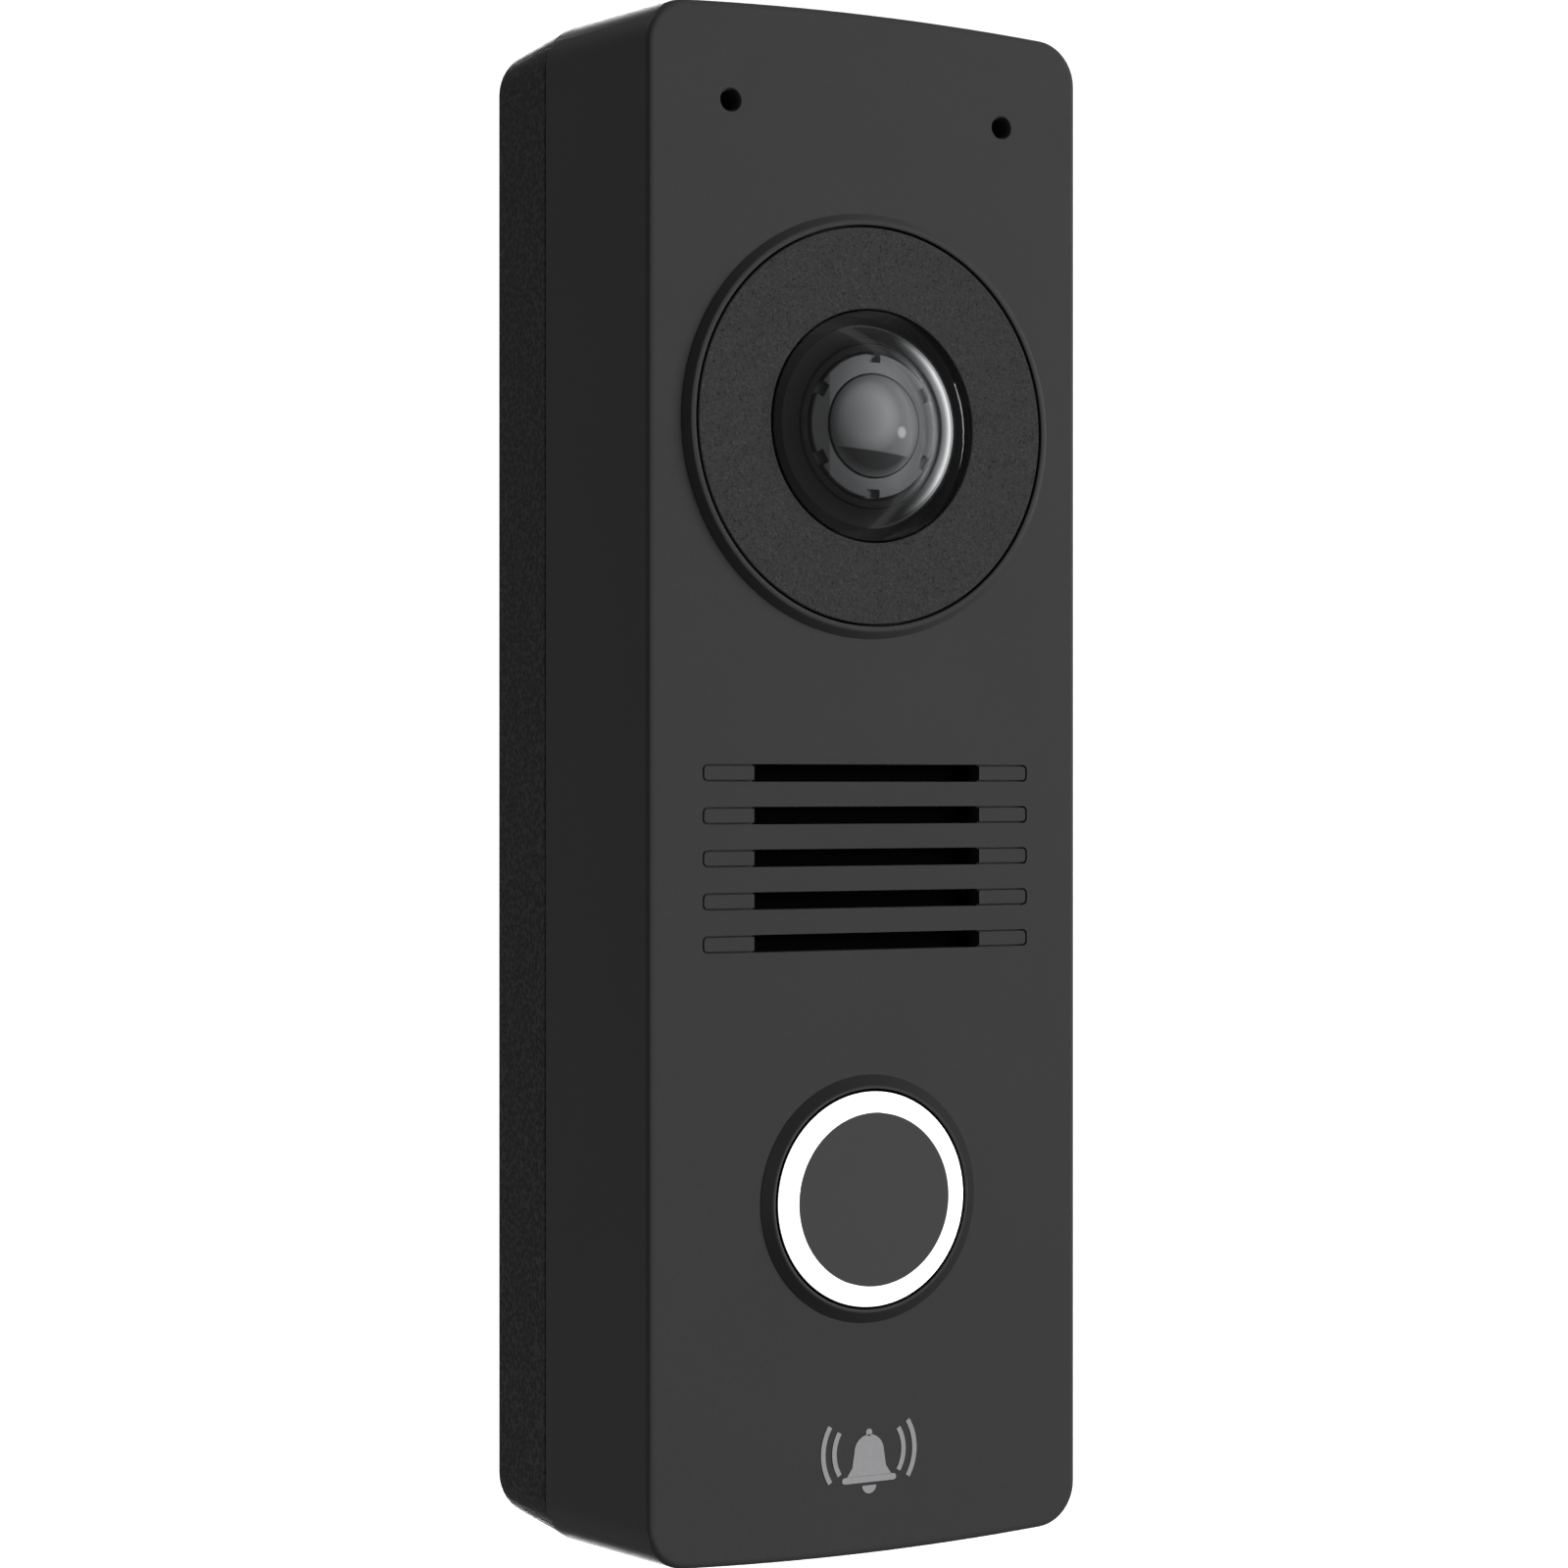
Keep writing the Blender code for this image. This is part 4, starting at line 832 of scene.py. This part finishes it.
# the call button: a lit ring with a black sleeve round it, and a flat cap
button = {"face": -1.4, "edge": -0.75, "ringOuter": 12.55, "ringInner": 10.2, "flat": 0.25,
          "skirt": 14.6, "skirtFront": 2.7, "skirtBack": 3.7, "cap": 10.12, "capBack": 2.4, "capEdge": 0.08,
          "capProud": 0.02}


def makeButton():
    outer = button["ringOuter"]
    inner = button["ringInner"]
    ring = spun([(inner, button["face"]), (inner + button["flat"], button["face"]),
                 (outer - 0.1, button["edge"] - 0.06), (outer, button["edge"] + 0.1),
                 (outer, button["skirtFront"]), (button["skirt"], button["skirtFront"]),
                 (button["skirt"], button["skirtBack"]), (inner, button["skirtBack"])], 120)
    for face in ring.faces:
        face.material_index = int(all(hypot(vert.co.x, vert.co.z) > outer - 0.01 for vert in face.verts))
    ring = toObject("buttonLightRing", place(ring, *buttonPlace), litWhite)
    ring.data.materials.append(sleeveBlack)
    piece(smoothed(ring, 45), "call_button", "white_light", "call_button_light_ring")
    cap = plug(button["cap"], button["face"] - button["capProud"], button["capBack"], 120)
    roundEdges(cap, button["capEdge"], 2, 40)
    piece(smoothed(toObject("buttonCap", place(cap, *buttonPlace), capGrey)),
          "call_button", "cap_grey", "call_button_cap")


makeButton()
print("call button made")


# a small printed bell below the button, measured from the middle of the mark
mark = {"z": -78.9, "thick": 0.05, "lift": 0.01, "dome": 2.0, "domeZ": 0.9,
        "flare": ((2.3, -0.9), (3.0, -1.9)), "knob": 0.42, "knobZ": 3.15, "bar": (6.6, 0.75), "barZ": -2.3,
        "clapper": 0.95, "clapperZ": -3.05, "arcs": (4.4, 5.9), "arcWidth": 0.6, "arcSpread": 32}


def flatInk(points):
    # a filled outline in the front plane, given a little thickness
    bm = bmesh.new()
    bm.faces.new([bm.verts.new((x, 0, z)) for x, z in points])
    made = bmesh.ops.extrude_face_region(bm, geom=bm.faces[:])["geom"]
    bmesh.ops.translate(bm, vec=(0, -mark["thick"], 0), verts=newVerts(made))
    return bm


def sweep(middle, radius, start, end, steps=16):
    # points along an arc, in degrees
    turns = [radians(start + (end - start) * step / steps) for step in range(steps + 1)]
    return [(middle[0] + radius * cos(turn), middle[1] + radius * sin(turn)) for turn in turns]


def makeMark():
    top = (0, mark["domeZ"])
    side, foot = mark["flare"]
    bell = [foot, side] + sweep(top, mark["dome"], 0, 180) + [(-side[0], side[1]), (-foot[0], foot[1])]
    half = mark["bar"][0] / 2
    bar = (sweep((half, mark["barZ"]), mark["bar"][1] / 2, -90, 90, 8)
           + sweep((-half, mark["barZ"]), mark["bar"][1] / 2, 90, 270, 8))
    shapes = [bell, sweep((0, mark["knobZ"]), mark["knob"], 0, 345, 20),
              sweep((0, mark["clapperZ"]), mark["clapper"], 180, 360), bar]
    for radius in mark["arcs"]:
        for middle in (0, 180):
            low, high = middle - mark["arcSpread"], middle + mark["arcSpread"]
            shapes.append(sweep(top, radius, low, high) + sweep(top, radius + mark["arcWidth"], high, low))
    for index, shape in enumerate(shapes):
        made = toObject(f"bellMark{index + 1}", place(flatInk(shape), 0, mark["z"]), markGrey)
        made.data.transform(Matrix.Translation(Vector((0, -mark["lift"] * mm, 0))))
        piece(made, "front_unit", "cover_grey")


makeMark()
print("mark made")


def numbered(name, count):
    return [f"{name}_{index + 1}" for index in range(count)]


# the nodes that stay get their finishes
nodeFinishes = {
    rubberBlack: ["window_seal", "speaker_gasket", "microphone_boot_left", "microphone_boot_right",
                  "call_button_seal", "cover_gasket"],
    padGrey: ["thermal_pad"],
    castPlate: ["back_plate"],
    plainSteel: ["speaker_magnet", "microphone_left", "microphone_right", "network_socket", "card_socket",
                 "processor_shield", "security_screw"] + numbered("window_clamp_screw", 2)
                + numbered("camera_board_screw", 2) + numbered("main_board_screw", 4)
                + numbered("back_plate_screw", 4),
    deepBlack: ["window_clamp_ring", "inner_frame", "lens_holder", "speaker_frame", "call_button_carrier",
                "call_switch_body", "call_switch_stem", "memory_card", "control_switch_body", "image_sensor"],
    switchWhite: ["control_switch_stem"] + numbered("ring_light_source", 4),
    boardGreen: ["camera_board", "microphone_board", "button_board", "main_board"],
    terminalGreen: ["terminal_block"],
    amberFilm: ["camera_flex_cable"],
    blackCloth: ["speaker_cloth"],
    coneBlack: ["speaker_cone"],
}
for finish, names in nodeFinishes.items():
    for name in names:
        node = frame["nodes"][name]
        node.data.materials.clear()
        node.data.materials.append(finish)
print("nodes finished")


# the studio: a pale floor far below, white surround and soft boxes, in metres and watts
studio = {"floorDrop": 0.35, "floorSize": 30.0, "floorTones": (0.86, 0.9), "room": 0.115, "backdrop": 1.1,
          "middle": (0.0, -0.02, 0.0)}
# without names the kind of ray that doesn't see the light
lights = {
    "frontBox": {"at": (2.35, -2.0, 0.6), "size": (2.0, 2.0), "power": 217.0, "without": "glossy"},
    "rightStrip": {"at": (0.745, 0.04, 0.05), "size": (0.05, 0.5), "power": 0.3, "without": "diffuse",
                   "target": trimMiddle},
    "topBox": {"at": (-0.5, 0.4, 0.9), "size": (0.8, 0.6), "power": 1.2},
    "lowBox": {"at": (-0.42, 0.12, -0.38), "size": (0.25, 0.25), "power": 1.35, "without": "glossy"},
    "backGlow": {"at": (0.5, 1.0, 0.0), "size": (0.7, 1.6), "power": 18.0, "without": "glossy"},
    "rimTop": {"at": (0.52, 1.1, 0.46), "size": (0.5, 0.45), "power": 8.0, "without": "diffuse"},
    "rimLow": {"at": (0.52, 1.1, -0.46), "size": (0.5, 0.45), "power": 8.0, "without": "diffuse"},
    "edgeStrip": {"at": (-0.56, -1.5, 0.0), "size": (0.2, 0.9), "power": 2.5, "without": "diffuse",
                  "only": "frontCover"},
}
view = {"place": (-0.2202, frontFace * mm - 0.3692, 0.0), "heading": 29.49, "lens": 84.42, "sensor": 36.0,
        "nearest": 0.01}


def makeStage():
    bm = bmesh.new()
    bmesh.ops.create_grid(bm, x_segments=4, y_segments=4, size=studio["floorSize"] / 2)
    bmesh.ops.translate(bm, vec=(0, 0, cadBox[0][2] - studio["floorDrop"]), verts=bm.verts)
    finish = Finish("paleFloor")
    low, high = studio["floorTones"]
    finish.drive("Base Color", finish.ramp(finish.noise(400.0, 1.0), (0.3, (low,) * 3), (0.7, (high,) * 3)))
    finish.fix(Roughness=0.9, Emission_Color=(1.0, 1.0, 1.0), Emission_Strength=1.0)
    floor = toObject("paleFloor", bm, finish.material)
    floor.visible_diffuse = False
    floor.visible_glossy = False
    floor.visible_transmission = False


def makeSurround():
    # the camera sees clean white; the object sees a dim even room
    world = bpy.data.worlds.new("studioSurround")
    bpy.context.scene.world = world
    world.use_nodes = True
    tree = world.node_tree
    room = tree.nodes["Background"]
    seen = tree.nodes.new("ShaderNodeBackground")
    for shown, strength in ((room, studio["room"]), (seen, studio["backdrop"])):
        shown.inputs["Color"].default_value = (1.0, 1.0, 1.0, 1.0)
        shown.inputs["Strength"].default_value = strength
    path = tree.nodes.new("ShaderNodeLightPath")
    choose = tree.nodes.new("ShaderNodeMixShader")
    tree.links.new(path.outputs["Is Camera Ray"], choose.inputs[0])
    tree.links.new(room.outputs[0], choose.inputs[1])
    tree.links.new(seen.outputs[0], choose.inputs[2])
    tree.links.new(choose.outputs[0], tree.nodes["World Output"].inputs["Surface"])


def softBox(name, spec):
    data = bpy.data.lights.new(name, "AREA")
    data.shape = "RECTANGLE"
    data.size, data.size_y = spec["size"]
    data.energy = spec["power"]
    light = bpy.data.objects.new(name, data)
    light.location = spec["at"]
    towards = Vector(spec.get("target", studio["middle"])) - Vector(spec["at"])
    light.rotation_euler = towards.to_track_quat("-Z", "Y").to_euler()
    bpy.context.scene.collection.objects.link(light)
    if "without" in spec:
        setattr(light, "visible_" + spec["without"], False)
    if "only" in spec:
        # this light falls on one piece alone
        lit = bpy.data.collections.new(name + "Only")
        lit.objects.link(bpy.data.objects[spec["only"]])
        light.light_linking.receiver_collection = lit


def makeCamera():
    data = bpy.data.cameras.new("studioCamera")
    data.lens = view["lens"]
    data.sensor_width = view["sensor"]
    data.clip_start = view["nearest"]
    camera = bpy.data.objects.new("studioCamera", data)
    camera.location = view["place"]
    camera.rotation_euler = (pi / 2, 0.0, -radians(view["heading"]))
    bpy.context.scene.collection.objects.link(camera)
    bpy.context.scene.camera = camera


makeStage()
makeSurround()
for name, spec in lights.items():
    softBox(name, spec)
makeCamera()
bpy.context.scene.view_settings.view_transform = "Standard"
print("studio made")
